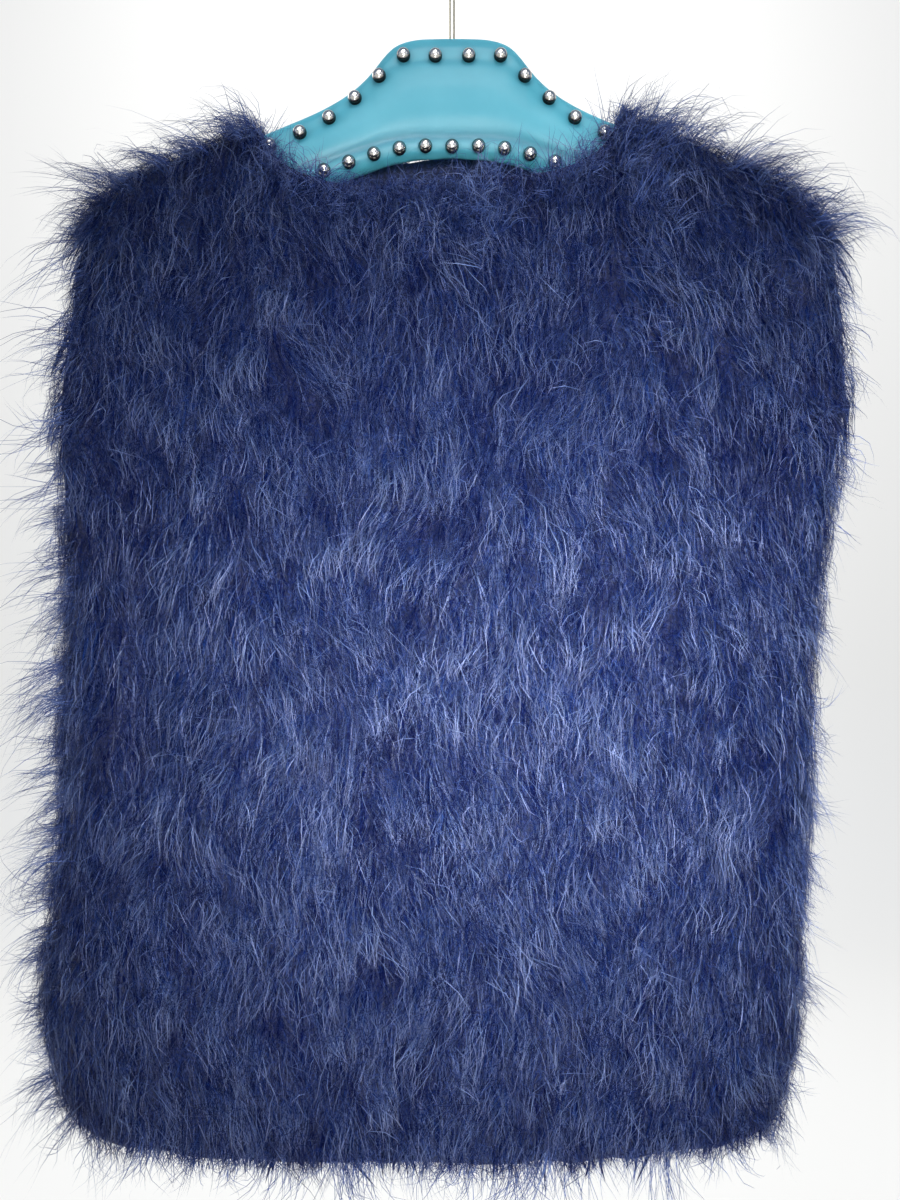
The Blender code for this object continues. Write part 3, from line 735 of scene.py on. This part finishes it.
def add_strands(name, paths, normals, widths, tones, tone_width, rng, material):
    """A piece of many tapered ribbons, each with its tone across and its length up the map."""
    low, high = room_for_pile()
    reach = paths - paths[:, :1]
    room = np.where(reach > 0.0, high - paths[:, :1], paths[:, :1] - low)
    share = (room / np.maximum(np.abs(reach), 1e-9)).min(axis=(1, 2)).clip(0.2, 1.0)
    paths = paths[:, :1] + reach * share[:, None, None]
    count, steps = paths.shape[:2]
    tangents = unit(np.gradient(paths, axis=1))
    side = unit(np.cross(tangents, normals[:, None]))
    up = np.cross(side, tangents)
    twist = rng.normal(0.0, TWIST, count)[:, None, None]
    across = side * np.cos(twist) + up * np.sin(twist)
    t = np.linspace(0.0, 1.0, steps)
    half = (widths[:, None] * (0.70 + 1.2 * t * (1.0 - t)) * (1.0 - t ** 3))[..., None] / 2
    pairs = np.stack([paths - across * half, paths + across * half], axis=2)
    body = pairs[:, :-1].reshape(count, 2 * (steps - 1), 3)
    points = np.concatenate([body, paths[:, -1:]], axis=1)
    each = points.shape[1]

    corners = []
    for k in range(steps - 2):
        corners += [2 * k, 2 * k + 1, 2 * k + 3, 2 * k + 2]
    corners += [2 * (steps - 2), 2 * (steps - 2) + 1, 2 * (steps - 1)]
    corners = np.array(corners)
    starts = np.array([4 * k for k in range(steps - 1)])
    loops = (np.arange(count)[:, None] * each + corners).ravel()
    loop_starts = (np.arange(count)[:, None] * len(corners) + starts).ravel()

    aside = np.tile((-0.5, 0.5), steps)[:each]
    aside[-1] = 0.0
    up_map = np.repeat(0.01 + 0.98 * t, 2)[:each]
    across_map = np.clip(tones, tone_width, 1.0 - tone_width)[:, None] + aside * tone_width
    across_map = across_map[:, corners]
    along_map = np.broadcast_to(up_map[corners], across_map.shape)
    map_points = np.stack([across_map, along_map], axis=-1).astype(np.float32).ravel()

    mesh = bpy.data.meshes.new(name)
    mesh.vertices.add(count * each)
    mesh.vertices.foreach_set("co", points.astype(np.float32).ravel())
    mesh.loops.add(len(loops))
    mesh.loops.foreach_set("vertex_index", loops.astype(np.int32))
    mesh.polygons.add(len(loop_starts))
    mesh.polygons.foreach_set("loop_start", loop_starts.astype(np.int32))
    mesh.update(calc_edges=True)
    for map_name in ("strand", "OFBake"):
        mesh.uv_layers.new(name=map_name).data.foreach_set("uv", map_points)
    mesh.polygons.foreach_set("use_smooth", np.ones(len(loop_starts), dtype=bool))
    mesh.validate()
    obj = bpy.data.objects.new(name, mesh)
    bpy.context.scene.collection.objects.link(obj)
    finish_piece(obj, material)
    return obj


def lying_pile(panel, pile, knit, under_look, pile_look):
    """The combed pile of one panel: locks, strands in the locks, and layers of hair in the strands."""
    rng = np.random.default_rng(panel.seed)
    skin = panel_skin(panel, knit)
    area = skin.area.sum()
    edge = skin_edge(skin, np.minimum)

    locks, _ = scatter(skin, int(area / pile.lock_spacing ** 2), rng)
    relief = 1.0 + RELIEF * wander(locks * RELIEF_SCALE, RELIEF_SIZE, panel.seed)
    lengths = pile.length * rng.uniform(0.75, 1.25, len(locks))
    low = trough_share(locks) if panel is FRONT else np.zeros(len(locks))
    lifts = pile.lift * relief * rng.uniform(0.7, 1.3, len(locks)) * (1.0 - low)
    lock_paths = guide_paths(skin, locks, lengths, lifts, rng)
    # painted shade darkens the locks in the troughs
    lock_tones = rng.normal(0.0, LOCK_SCATTER, len(locks)) - TROUGH_SHADE * low
    lock_tones += PATCH_TONE * wander(locks, PATCH_SIZE, panel.seed + 0.5)
    lock_tones += EDGE_TONE * smooth((np.abs(side_reach(locks)) - 0.80) / 0.15)

    strands, strand_normals = scatter(skin, int(area / pile.strand_spacing ** 2), rng)
    in_lock = nearest(tree_of(locks), strands)
    strand_paths = child_paths(lock_paths, in_lock, strands, strand_normals, rng, STRAND)
    apart = np.linalg.norm(strands - locks[in_lock], axis=1) / pile.lock_spacing
    strand_tones = lock_tones[in_lock] + rng.normal(0.0, STRAND_SCATTER, len(strands))
    # Painted shade between the locks: darker towards a lock's rim, lighter in its middle
    strand_tones += LOCK_SHADE * (0.42 - apart)

    made = []
    strand_tree = tree_of(strands)
    for layer in panel.layers:
        roots, normals = scatter(skin, layer.hairs, rng)
        in_strand = nearest(strand_tree, roots)
        height = layer.start * lifts[in_lock[in_strand]] * np.sqrt(rng.random(layer.hairs))
        roots = roots + normals * height[:, None]
        paths = child_paths(strand_paths, in_strand, roots, normals, rng, layer)
        paths = resampled(trimmed(paths, edge, rng), layer.segments)
        follow = MAT_TONE if layer.start else 1.0
        tones = layer.tone + follow * strand_tones[in_strand] + rng.normal(0.0, HAIR_SCATTER, layer.hairs)
        tones += PALE_TONE * (rng.random(layer.hairs) < layer.pale)
        widths = layer.width * rng.uniform(0.7, 1.3, layer.hairs)
        look = under_look if layer.name in ("under", "matted") else pile_look
        made.append(add_strands("pile_%s_%s" % (panel.name, layer.name), paths, normals, widths,
                                tones.clip(0.0, 1.0), 25.0 * layer.width, rng, look))
    return made


def tuft_zone(name, skin, roots, normals):
    """Which roots belong to a zone of loose tufts."""
    x, z = roots[:, 0], roots[:, 2]
    if name in NECK_ZONES:
        zone = NECK_ZONES[name]
        from_neck = np.abs(x - (CROWNS[0].x + CROWNS[1].x) / 2)
        below_top = np.interp(x, *skin_edge(skin, np.maximum)) - z
        return ((from_neck > zone.near) & (from_neck < zone.far) & (below_top < zone.below)
                & (normals[:, 2] > zone.up))
    apart = {
        "left_side": x - np.interp(z, *skin_edge(skin, np.minimum, 2, 0)),
        "right_side": np.interp(z, *skin_edge(skin, np.maximum, 2, 0)) - x,
        "hem": z - np.interp(x, *skin_edge(skin, np.minimum)),
    }
    return apart[name] < EDGE_ZONES[name]


def loose_tufts(panel, knit, material):
    """Tufts that leave the lying pile at the sides, the shoulders, the hem and the neckline."""
    rng = np.random.default_rng(panel.seed + 500)
    skin = panel_skin(panel, knit)
    pool, pool_normals = scatter(skin, TUFT_POOL, rng)
    t = np.linspace(0.0, 1.0, GUIDE_STEPS + 1)
    all_paths, all_normals, all_tones = [], [], []
    for tuft in TUFTS:
        if ONE_PANEL.get(tuft.name, panel.name) != panel.name:
            continue
        inside = np.flatnonzero(tuft_zone(tuft.name, skin, pool, pool_normals))
        picked = rng.choice(inside, size=tuft.tufts // 2)
        roots, normals = pool[picked], pool_normals[picked]
        aside = np.zeros_like(roots)
        aside[:, 0] = np.sign(roots[:, 0])
        down = np.array((0.0, 0.0, -1.0))
        start = unit(tuft.out * normals + tuft.aside * aside + tuft.down * down
                     + rng.normal(0.0, tuft.stray * 0.6, roots.shape))
        end = unit(tuft.end_out * normals + tuft.end_aside * aside + tuft.end_down * down
                   + rng.normal(0.0, tuft.stray, roots.shape))
        heading = unit(start[:, None] * (1.0 - t)[:, None] + end[:, None] * t[:, None])
        length = tuft.short + (tuft.long - tuft.short) * rng.random(len(roots)) ** 2.0
        length *= np.clip(1.15 + 0.9 * wander(roots, WISP_SIZE, panel.seed + 7.3), *WISPS)
        steps = heading[:, :-1] * (length / GUIDE_STEPS)[:, None, None]
        guides = np.concatenate([np.zeros((len(roots), 1, 3)), np.cumsum(steps, axis=1)], axis=1)
        curl = unit(np.cross(end, rng.normal(0.0, 1.0, roots.shape)))
        curl *= rng.normal(0.0, TUFT_CURL, len(roots))[:, None]
        guides += curl[:, None] * (np.sin(4.4 * t) * t)[None, :, None]

        which = np.repeat(np.arange(len(roots)), tuft.hairs)
        if panel is BACK:
            which = which[rng.random(len(which)) < BACK_TUFTS]
        apart = rng.normal(0.0, TUFT_SPREAD, (len(which), 3))
        apart -= normals[which] * np.sum(apart * normals[which], axis=1, keepdims=True)
        course = turned(guides[which], normals[which], rng.normal(0.0, HAIR_TURN, len(which)))
        course = course * rng.uniform(0.45, 1.10, len(which))[:, None, None]
        sway = rng.normal(0.0, HAIR_CURL, (len(which), 1, 3)) * (np.sin(5.2 * t) * t)[None, :, None]
        course = course + sway
        keep = 1.0 - rng.uniform(0.2, 0.95, len(which))[:, None] * smooth(t)
        all_paths.append(roots[which][:, None] + apart[:, None] * keep[..., None] + course)
        all_normals.append(normals[which])
        tuft_tones = TUFT_TONE_AND_GLOW + rng.normal(0.0, 0.14, len(roots))
        all_tones.append(tuft_tones[which] + rng.normal(0.0, 0.10, len(which)))
    paths = resampled(np.concatenate(all_paths), TUFT_SEGMENTS)
    normals = np.concatenate(all_normals)
    tones = np.concatenate(all_tones).clip(0.0, 1.0)
    widths = TUFT_WIDTH * rng.uniform(0.6, 1.3, len(paths))
    return add_strands("tufts_" + panel.name, paths, normals, widths, tones, 0.010, rng, material)


class VEST_OT_knit(bpy.types.Operator):
    """Knit front and back: thin shells on the inside faces of the panels"""

    bl_idname = "vest.knit"
    bl_label = "Knit front and back"

    def execute(self, context):
        knit, pile = context.scene.vest_knit, context.scene.vest_pile
        knit_look = knit_material(knit)
        # root and half: shares of painted shade at a hair's root and half way along
        under_look = pile_material("matted_yarn_under_the_pile", pile, root=0.30, half=0.70, gloss=0.08)
        pile_look = pile_material("brushed_long_haired_yarn", pile, root=0.06, half=0.50, gloss=0.75)
        # The loose ends take less painted shade at their roots: painted light shining through the thin hair
        # from behind
        ends_look = pile_material("loose_yarn_ends", pile, root=0.45, half=0.90, gloss=0.75)
        for panel in PANELS:
            shell = inside_face(panel, "knit_" + panel.name)
            apply_modifier(shell, "SOLIDIFY", thickness=knit.thickness, offset=1.0)
            shade_smooth(shell)
            finish_piece(shell, knit_look, (panel.node,))
            hair = lying_pile(panel, pile, knit, under_look, pile_look)
            hair.append(loose_tufts(panel, knit, ends_look))
        return {"FINISHED"}


def averaged(values, count):
    """Values along a line, each averaged with its neighbours, count in all."""
    return np.convolve(np.pad(values, count // 2, "edge"), np.full(count, 1.0 / count), "valid")


def depth_from(points, keep, start):
    """How far points of the hanger lie from its upper or lower edge, square to it. keep is np.maximum
    or np.minimum."""
    places, heights = edge_line(points, keep, start, HANGER_COLUMNS)
    heights = averaged(heights, 5)
    slopes = averaged(np.gradient(heights, places), 3)
    away = np.abs(np.interp(points[:, 0], places, heights) - points[:, 2])
    return away / np.sqrt(1.0 + np.interp(points[:, 0], places, slopes) ** 2)


def stud_places():
    """Node, seat and outward axis of every stud."""
    places = []
    for name in sorted(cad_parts):
        if name.startswith("stud_"):
            points = np.unique(np.round(coordinates(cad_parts[name].data), 6), axis=0)
            axis = np.linalg.eigh(np.cov(points.T))[1][:, 0]
            axis = axis * -np.sign(axis[1])
            height = points @ axis
            seat = points[height < height.min() + 0.0001].mean(axis=0)
            places.append((name, Vector(seat), Vector(axis)))
    return places


class VEST_OT_hanger(bpy.types.Operator):
    """Padded leather cover of the hanger, pulled in along its rows of studs"""

    bl_idname = "vest.hanger"
    bl_label = "Hanger cover"

    def execute(self, context):
        """Remesh a copy of the hanger, then pull in its bands, swell its face, and paint shade into the
        leather's crease and round its studs.
        """
        hanger = context.scene.vest_hanger
        cover = copy_of("hanger_body", "hanger_cover")
        cover.data.remesh_voxel_size = hanger.voxel
        only(cover)
        bpy.ops.object.voxel_remesh()
        apply_modifier(cover, "SMOOTH", factor=0.5, iterations=6)
        mesh = cover.data
        points = coordinates(mesh)
        upper = depth_from(points, np.maximum, CAD_BOX[0].z)
        lower = depth_from(points, np.minimum, CAD_BOX[1].z)
        half = np.abs(points[:, 1]).max()
        face = smooth(-points[:, 1] / half / 0.6)
        aside = np.abs(points[:, 0])
        middle = smooth((PADDED_END - aside) / PADDED_FADE)
        rows = np.array(STUD_ROWS)
        below_top = upper - np.interp(aside, rows[:, 0], rows[:, 1])
        above_low = lower - np.interp(aside, rows[:, 0], rows[:, 2]) - hanger.crease
        crease = np.exp(-(above_low / CREASE_WIDTH) ** 2) * smooth((CREASE_END - aside) / CREASE_FADE)
        # Painted shade on the leather: strong in the crease above the lower studs, weaker round each stud
        fold = 0.75 * crease
        move = -hanger.valley * (np.exp(-(below_top / VALLEY_WIDTH) ** 2) + 1.2 * crease)
        move += hanger.padding * smooth(below_top / PADDED_TOP) * smooth(above_low / PADDED_LOW) * middle
        for _, seat, _ in stud_places():
            away = np.linalg.norm(points[:, (0, 2)] - (seat.x, seat.z), axis=1)
            move -= STUD_DENT * np.exp(-(away / STUD_DENT_WIDTH) ** 2)
            fold = np.maximum(fold, 0.55 * np.exp(-(away / STUD_SHADE_WIDTH) ** 4))
        points[:, 1] -= move * face
        shade = mesh.attributes.new(PAINTED_SHADE, "FLOAT", "POINT")
        shade.data.foreach_set("value", (fold * face).astype(np.float32))
        mesh.vertices.foreach_set("co", points.ravel())
        mesh.update()
        apply_modifier(cover, "SMOOTH", factor=0.5, iterations=2)
        shade_smooth(cover)
        finish_piece(cover, leather_material(hanger), ("hanger_body",))
        return {"FINISHED"}


class VEST_OT_studs(bpy.types.Operator):
    """Polished round studs, one modelled and copied to each place"""

    bl_idname = "vest.studs"
    bl_label = "Studs"

    def execute(self, context):
        """Model one stud, copy it to every seat and join the copies."""
        hanger = context.scene.vest_hanger
        radius = hanger.stud_radius
        bpy.ops.mesh.primitive_uv_sphere_add(segments=24, ring_count=16, radius=radius)
        stud = bpy.context.active_object
        stud.data.uv_layers[0].name = STUD_MAP
        edit(stud)
        bpy.ops.mesh.bisect(plane_co=(0.0, 0.0, -STUD_CUT * radius), plane_no=(0.0, 0.0, 1.0),
                            clear_inner=True)
        bpy.ops.mesh.select_mode(type="EDGE")
        bpy.ops.mesh.select_all(action="DESELECT")
        bpy.ops.mesh.select_non_manifold()
        for drop, share in STUD_SKIRT:
            bpy.ops.mesh.extrude_edges_move(TRANSFORM_OT_translate={"value": (0.0, 0.0, -drop * radius)})
            bpy.ops.transform.resize(value=(share, share, 1.0), center_override=(0.0, 0.0, 0.0))
        bpy.ops.mesh.edge_face_add()
        leave_edit()
        places = stud_places()
        copies = []
        for _, seat, axis in places:
            copy = stud.copy()
            copy.data = stud.data.copy()
            turn = axis.to_track_quat("Z", "Y").to_matrix().to_4x4()
            lift = Matrix.Translation((0.0, 0.0, STUD_LIFT))
            copy.data.transform(Matrix.Translation(seat) @ turn @ lift)
            bpy.context.scene.collection.objects.link(copy)
            copies.append(copy)
        bpy.data.objects.remove(stud)
        only(copies[0])
        for copy in copies:
            copy.select_set(True)
        bpy.ops.object.join()
        joined = bpy.context.active_object
        joined.name = "studs"
        bpy.ops.object.shade_smooth_by_angle(angle=STUD_EDGE)
        look = metal_material("polished_nickel_plate", hanger.nickel, low=0.10, high=0.20, scratch=0.0012,
                              seated=True)
        finish_piece(joined, look, [name for name, _, _ in places])
        return {"FINISHED"}


class VEST_OT_hook(bpy.types.Operator):
    """Plated wire hook: a shank, a bend and a round part with a rounded end"""

    bl_idname = "vest.hook"
    bl_label = "Hook"

    def execute(self, context):
        """Extrude the shank from a circle, then spin the bend and the round part."""
        hanger = context.scene.vest_hanger
        low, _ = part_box("hook")
        ring = hanger.hook_radius + hanger.wire_radius
        bend_start = -hanger.hook_radius - 2.0 * ring * math.sin(HOOK_BEND)
        bpy.ops.mesh.primitive_circle_add(vertices=20, radius=hanger.wire_radius, fill_type="NGON",
                                          location=(0.0, 0.0, low.z))
        hook = bpy.context.active_object
        hook.name = "wire_hook"
        bpy.ops.object.transform_apply(location=True, rotation=False, scale=False)
        edit(hook)
        bpy.ops.mesh.extrude_region_move(TRANSFORM_OT_translate={"value": (0.0, 0.0, bend_start - low.z)})
        bpy.ops.mesh.spin(steps=10, angle=-HOOK_BEND, center=(ring, 0.0, bend_start), axis=(0.0, 1.0, 0.0))
        bpy.ops.mesh.spin(steps=44, angle=HOOK_ROUND, center=(0.0, 0.0, -hanger.hook_radius),
                          axis=(0.0, 1.0, 0.0))
        leave_edit()
        tip = Vector((ring * math.cos(HOOK_TIP), 0.0, -hanger.hook_radius + ring * math.sin(HOOK_TIP)))
        heading = Vector((-math.sin(HOOK_TIP), 0.0, math.cos(HOOK_TIP)))
        edit(hook, lambda face: (face.center - tip).length < HOOK_NEAR)
        for ahead, share in HOOK_END:
            tip = tip + heading * ahead
            bpy.ops.mesh.extrude_region_move(TRANSFORM_OT_translate={"value": heading * ahead})
            bpy.ops.transform.resize(value=(share,) * 3, center_override=tip)
        bpy.ops.mesh.select_all(action="SELECT")
        bpy.ops.mesh.remove_doubles(threshold=MERGE)
        bpy.ops.mesh.normals_make_consistent(inside=False)
        leave_edit()
        only(hook)
        bpy.ops.object.shade_smooth_by_angle(angle=HOOK_EDGE)
        look = metal_material("nickel_plated_wire", hanger.wire, low=0.30, high=0.42, scratch=0.0025)
        finish_piece(hook, look, ("hook",))
        return {"FINISHED"}


# Lamps of the stage; size is across the disk, power is in watts and spread in degrees
Lamp = namedtuple("Lamp", "name place size power spread")
FLOOR_SIZE = (60.0, 30.0)  # width and depth of the floor
WALL_HEIGHT = 9.0
WALL_GAP = 1.0  # from the floor's end to the wall, which the backdrop's curve takes up
SURROUND_RADIUS = 24.0
SURROUND_HEIGHT = 40.0


class VEST_OT_stage(bpy.types.Operator):
    """Pale floor and backdrop, soft light and the camera"""

    bl_idname = "vest.stage"
    bl_label = "Stage"

    def execute(self, context):
        """Build the backdrop, the lights, the world and the camera."""
        stage = context.scene.vest_stage
        paint, _ = new_material("pale_matt_paint", roughness=0.9, emission_strength=0.55,
                                base_color=(*(0.40 * c for c in stage.paper), 1.0),
                                emission_color=(*stage.paper, 1.0))
        bpy.ops.mesh.primitive_plane_add(size=1.0)
        sweep = bpy.context.active_object
        sweep.name = "backdrop"
        middle = stage.wall - WALL_GAP - FLOOR_SIZE[1] / 2
        sweep.data.transform(Matrix.Translation((0.0, middle, stage.floor))
                             @ Matrix.Diagonal((*FLOOR_SIZE, 1.0, 1.0)))
        edit(sweep)
        bpy.ops.mesh.select_mode(type="EDGE")
        bpy.ops.mesh.select_all(action="DESELECT")
        leave_edit()
        far = max(vertex.co.y for vertex in sweep.data.vertices)
        for edge in sweep.data.edges:
            edge.select = all(sweep.data.vertices[k].co.y > far - 0.01 for k in edge.vertices)
        bpy.ops.object.mode_set(mode="EDIT")
        for step in ((0.0, WALL_GAP, 0.0), (0.0, 0.0, WALL_HEIGHT)):
            bpy.ops.mesh.extrude_edges_move(TRANSFORM_OT_translate={"value": step})
        leave_edit()
        apply_modifier(sweep, "BEVEL", width=0.9, segments=16, limit_method="ANGLE",
                       angle_limit=math.radians(60.0))
        shade_smooth(sweep)
        sweep.data.materials.append(paint)

        bpy.ops.mesh.primitive_cylinder_add(vertices=96, radius=SURROUND_RADIUS, depth=SURROUND_HEIGHT,
                                            end_fill_type="NGON")
        surround = bpy.context.active_object
        surround.name = "surround"
        shade_smooth(surround)
        surround.data.materials.append(paint)
        for rays in ("diffuse", "glossy", "transmission", "volume_scatter", "shadow"):
            setattr(surround, "visible_" + rays, False)

        world = bpy.data.worlds.new("pale_room")
        world.use_nodes = True
        context.scene.world = world
        sky = world.node_tree.nodes["Background"]
        sky.inputs["Color"].default_value = (*linear("#bcd4fa"), 1.0)
        sky.inputs["Strength"].default_value = 0.34

        target = Vector((0.06, 0.0, -0.50))
        aims = {"top_fill": Vector((0.0, 0.0, -0.17)), "low_fill": Vector((0.0, 0.0, -0.76)),
                "wall_wash": Vector((0.0, stage.wall, -0.4))}
        lamps = (
            Lamp("key", (0.12, -0.80, -0.42), 0.30, stage.key_power, 58.0),
            Lamp("left_fill", (-1.6, -1.1, 0.3), 1.2, 1.4, 180.0),
            Lamp("right_fill", (1.5, -1.4, 0.4), 1.2, 2.6, 180.0),
            Lamp("back_left", (-1.2, 1.6, 0.6), 1.0, 13.0, 180.0),
            Lamp("back_right", (1.3, 1.7, 0.3), 1.0, 12.0, 180.0),
            Lamp("top_fill", (0.1, -0.9, 0.75), 0.7, 1.0, 70.0),
            Lamp("low_fill", (0.0, -0.9, -1.25), 0.6, 0.8, 70.0),
            Lamp("wall_wash", (0.0, 0.9, 2.4), 1.6, 125.0, 180.0),
            Lamp("window", (-0.2, -1.3, 0.45), 1.6, 9.0, 180.0),
        )
        glossy = bpy.data.collections.new("glossy_pieces")
        for name in ("studs", "wire_hook", "hanger_cover"):
            glossy.objects.link(bpy.data.objects[name])
        for lamp in lamps:
            light = bpy.data.lights.new(lamp.name, "AREA")
            light.shape = "DISK"
            light.size = lamp.size
            light.energy = lamp.power
            light.spread = math.radians(lamp.spread)
            obj = bpy.data.objects.new(lamp.name, light)
            context.scene.collection.objects.link(obj)
            obj.visible_camera = False
            obj.visible_glossy = lamp.name != "wall_wash"
            obj.location = lamp.place
            obj.rotation_mode = "QUATERNION"
            aim = aims.get(lamp.name, target)
            obj.rotation_quaternion = (aim - Vector(lamp.place)).to_track_quat("-Z", "Y")
            if lamp.name == "window":
                obj.light_linking.receiver_collection = glossy
                obj.visible_diffuse = False

        camera = bpy.data.cameras.new("camera")
        camera.lens = stage.lens
        camera.sensor_width = 36.0
        view = bpy.data.objects.new("camera", camera)
        context.scene.collection.objects.link(view)
        view.location = (-0.0013, -stage.distance, stage.height)
        view.rotation_euler = (math.radians(90.0), 0.0, 0.0)
        context.scene.camera = view
        context.scene.view_settings.view_transform = "Standard"
        return {"FINISHED"}


class VEST_PT_sidebar(bpy.types.Panel):
    """Lists the vest's operators and sizes"""

    bl_label = "Long-haired vest"
    bl_idname = "VEST_PT_sidebar"
    bl_space_type = "VIEW_3D"
    bl_region_type = "UI"
    bl_category = "Vest"

    def draw(self, context):
        """Draw a button for each operator above its settings."""
        for group, names in GROUPS.items():
            box = self.layout.box()
            for name in names:
                box.operator("vest." + name)
            settings = getattr(context.scene, "vest_" + group)
            for key in settings.bl_rna.properties.keys():
                if key not in ("rna_type", "name"):
                    box.prop(settings, key)


# Groups of settings with the operators that each is for
GROUPS = {"knit": ("knit",), "pile": (), "hanger": ("hanger", "studs", "hook"), "stage": ("stage",)}
SETTINGS = {"knit": VEST_PG_knit, "pile": VEST_PG_pile, "hanger": VEST_PG_hanger, "stage": VEST_PG_stage}
CLASSES = (*SETTINGS.values(), VEST_OT_knit, VEST_OT_hanger, VEST_OT_studs, VEST_OT_hook, VEST_OT_stage,
           VEST_PT_sidebar)


def register():
    """Register the classes and hang the settings on the scene."""
    for cls in CLASSES:
        bpy.utils.register_class(cls)
    for name, cls in SETTINGS.items():
        setattr(bpy.types.Scene, "vest_" + name, PointerProperty(type=cls))


def unregister():
    """Take the settings and the classes away again."""
    for name in SETTINGS:
        delattr(bpy.types.Scene, "vest_" + name)
    for cls in reversed(CLASSES):
        bpy.utils.unregister_class(cls)


def main():
    """Build every piece in order."""
    register()
    bpy.ops.vest.hanger()
    bpy.ops.vest.studs()
    bpy.ops.vest.hook()
    bpy.ops.vest.knit()
    bpy.ops.vest.stage()


if __name__ == "__main__":
    main()
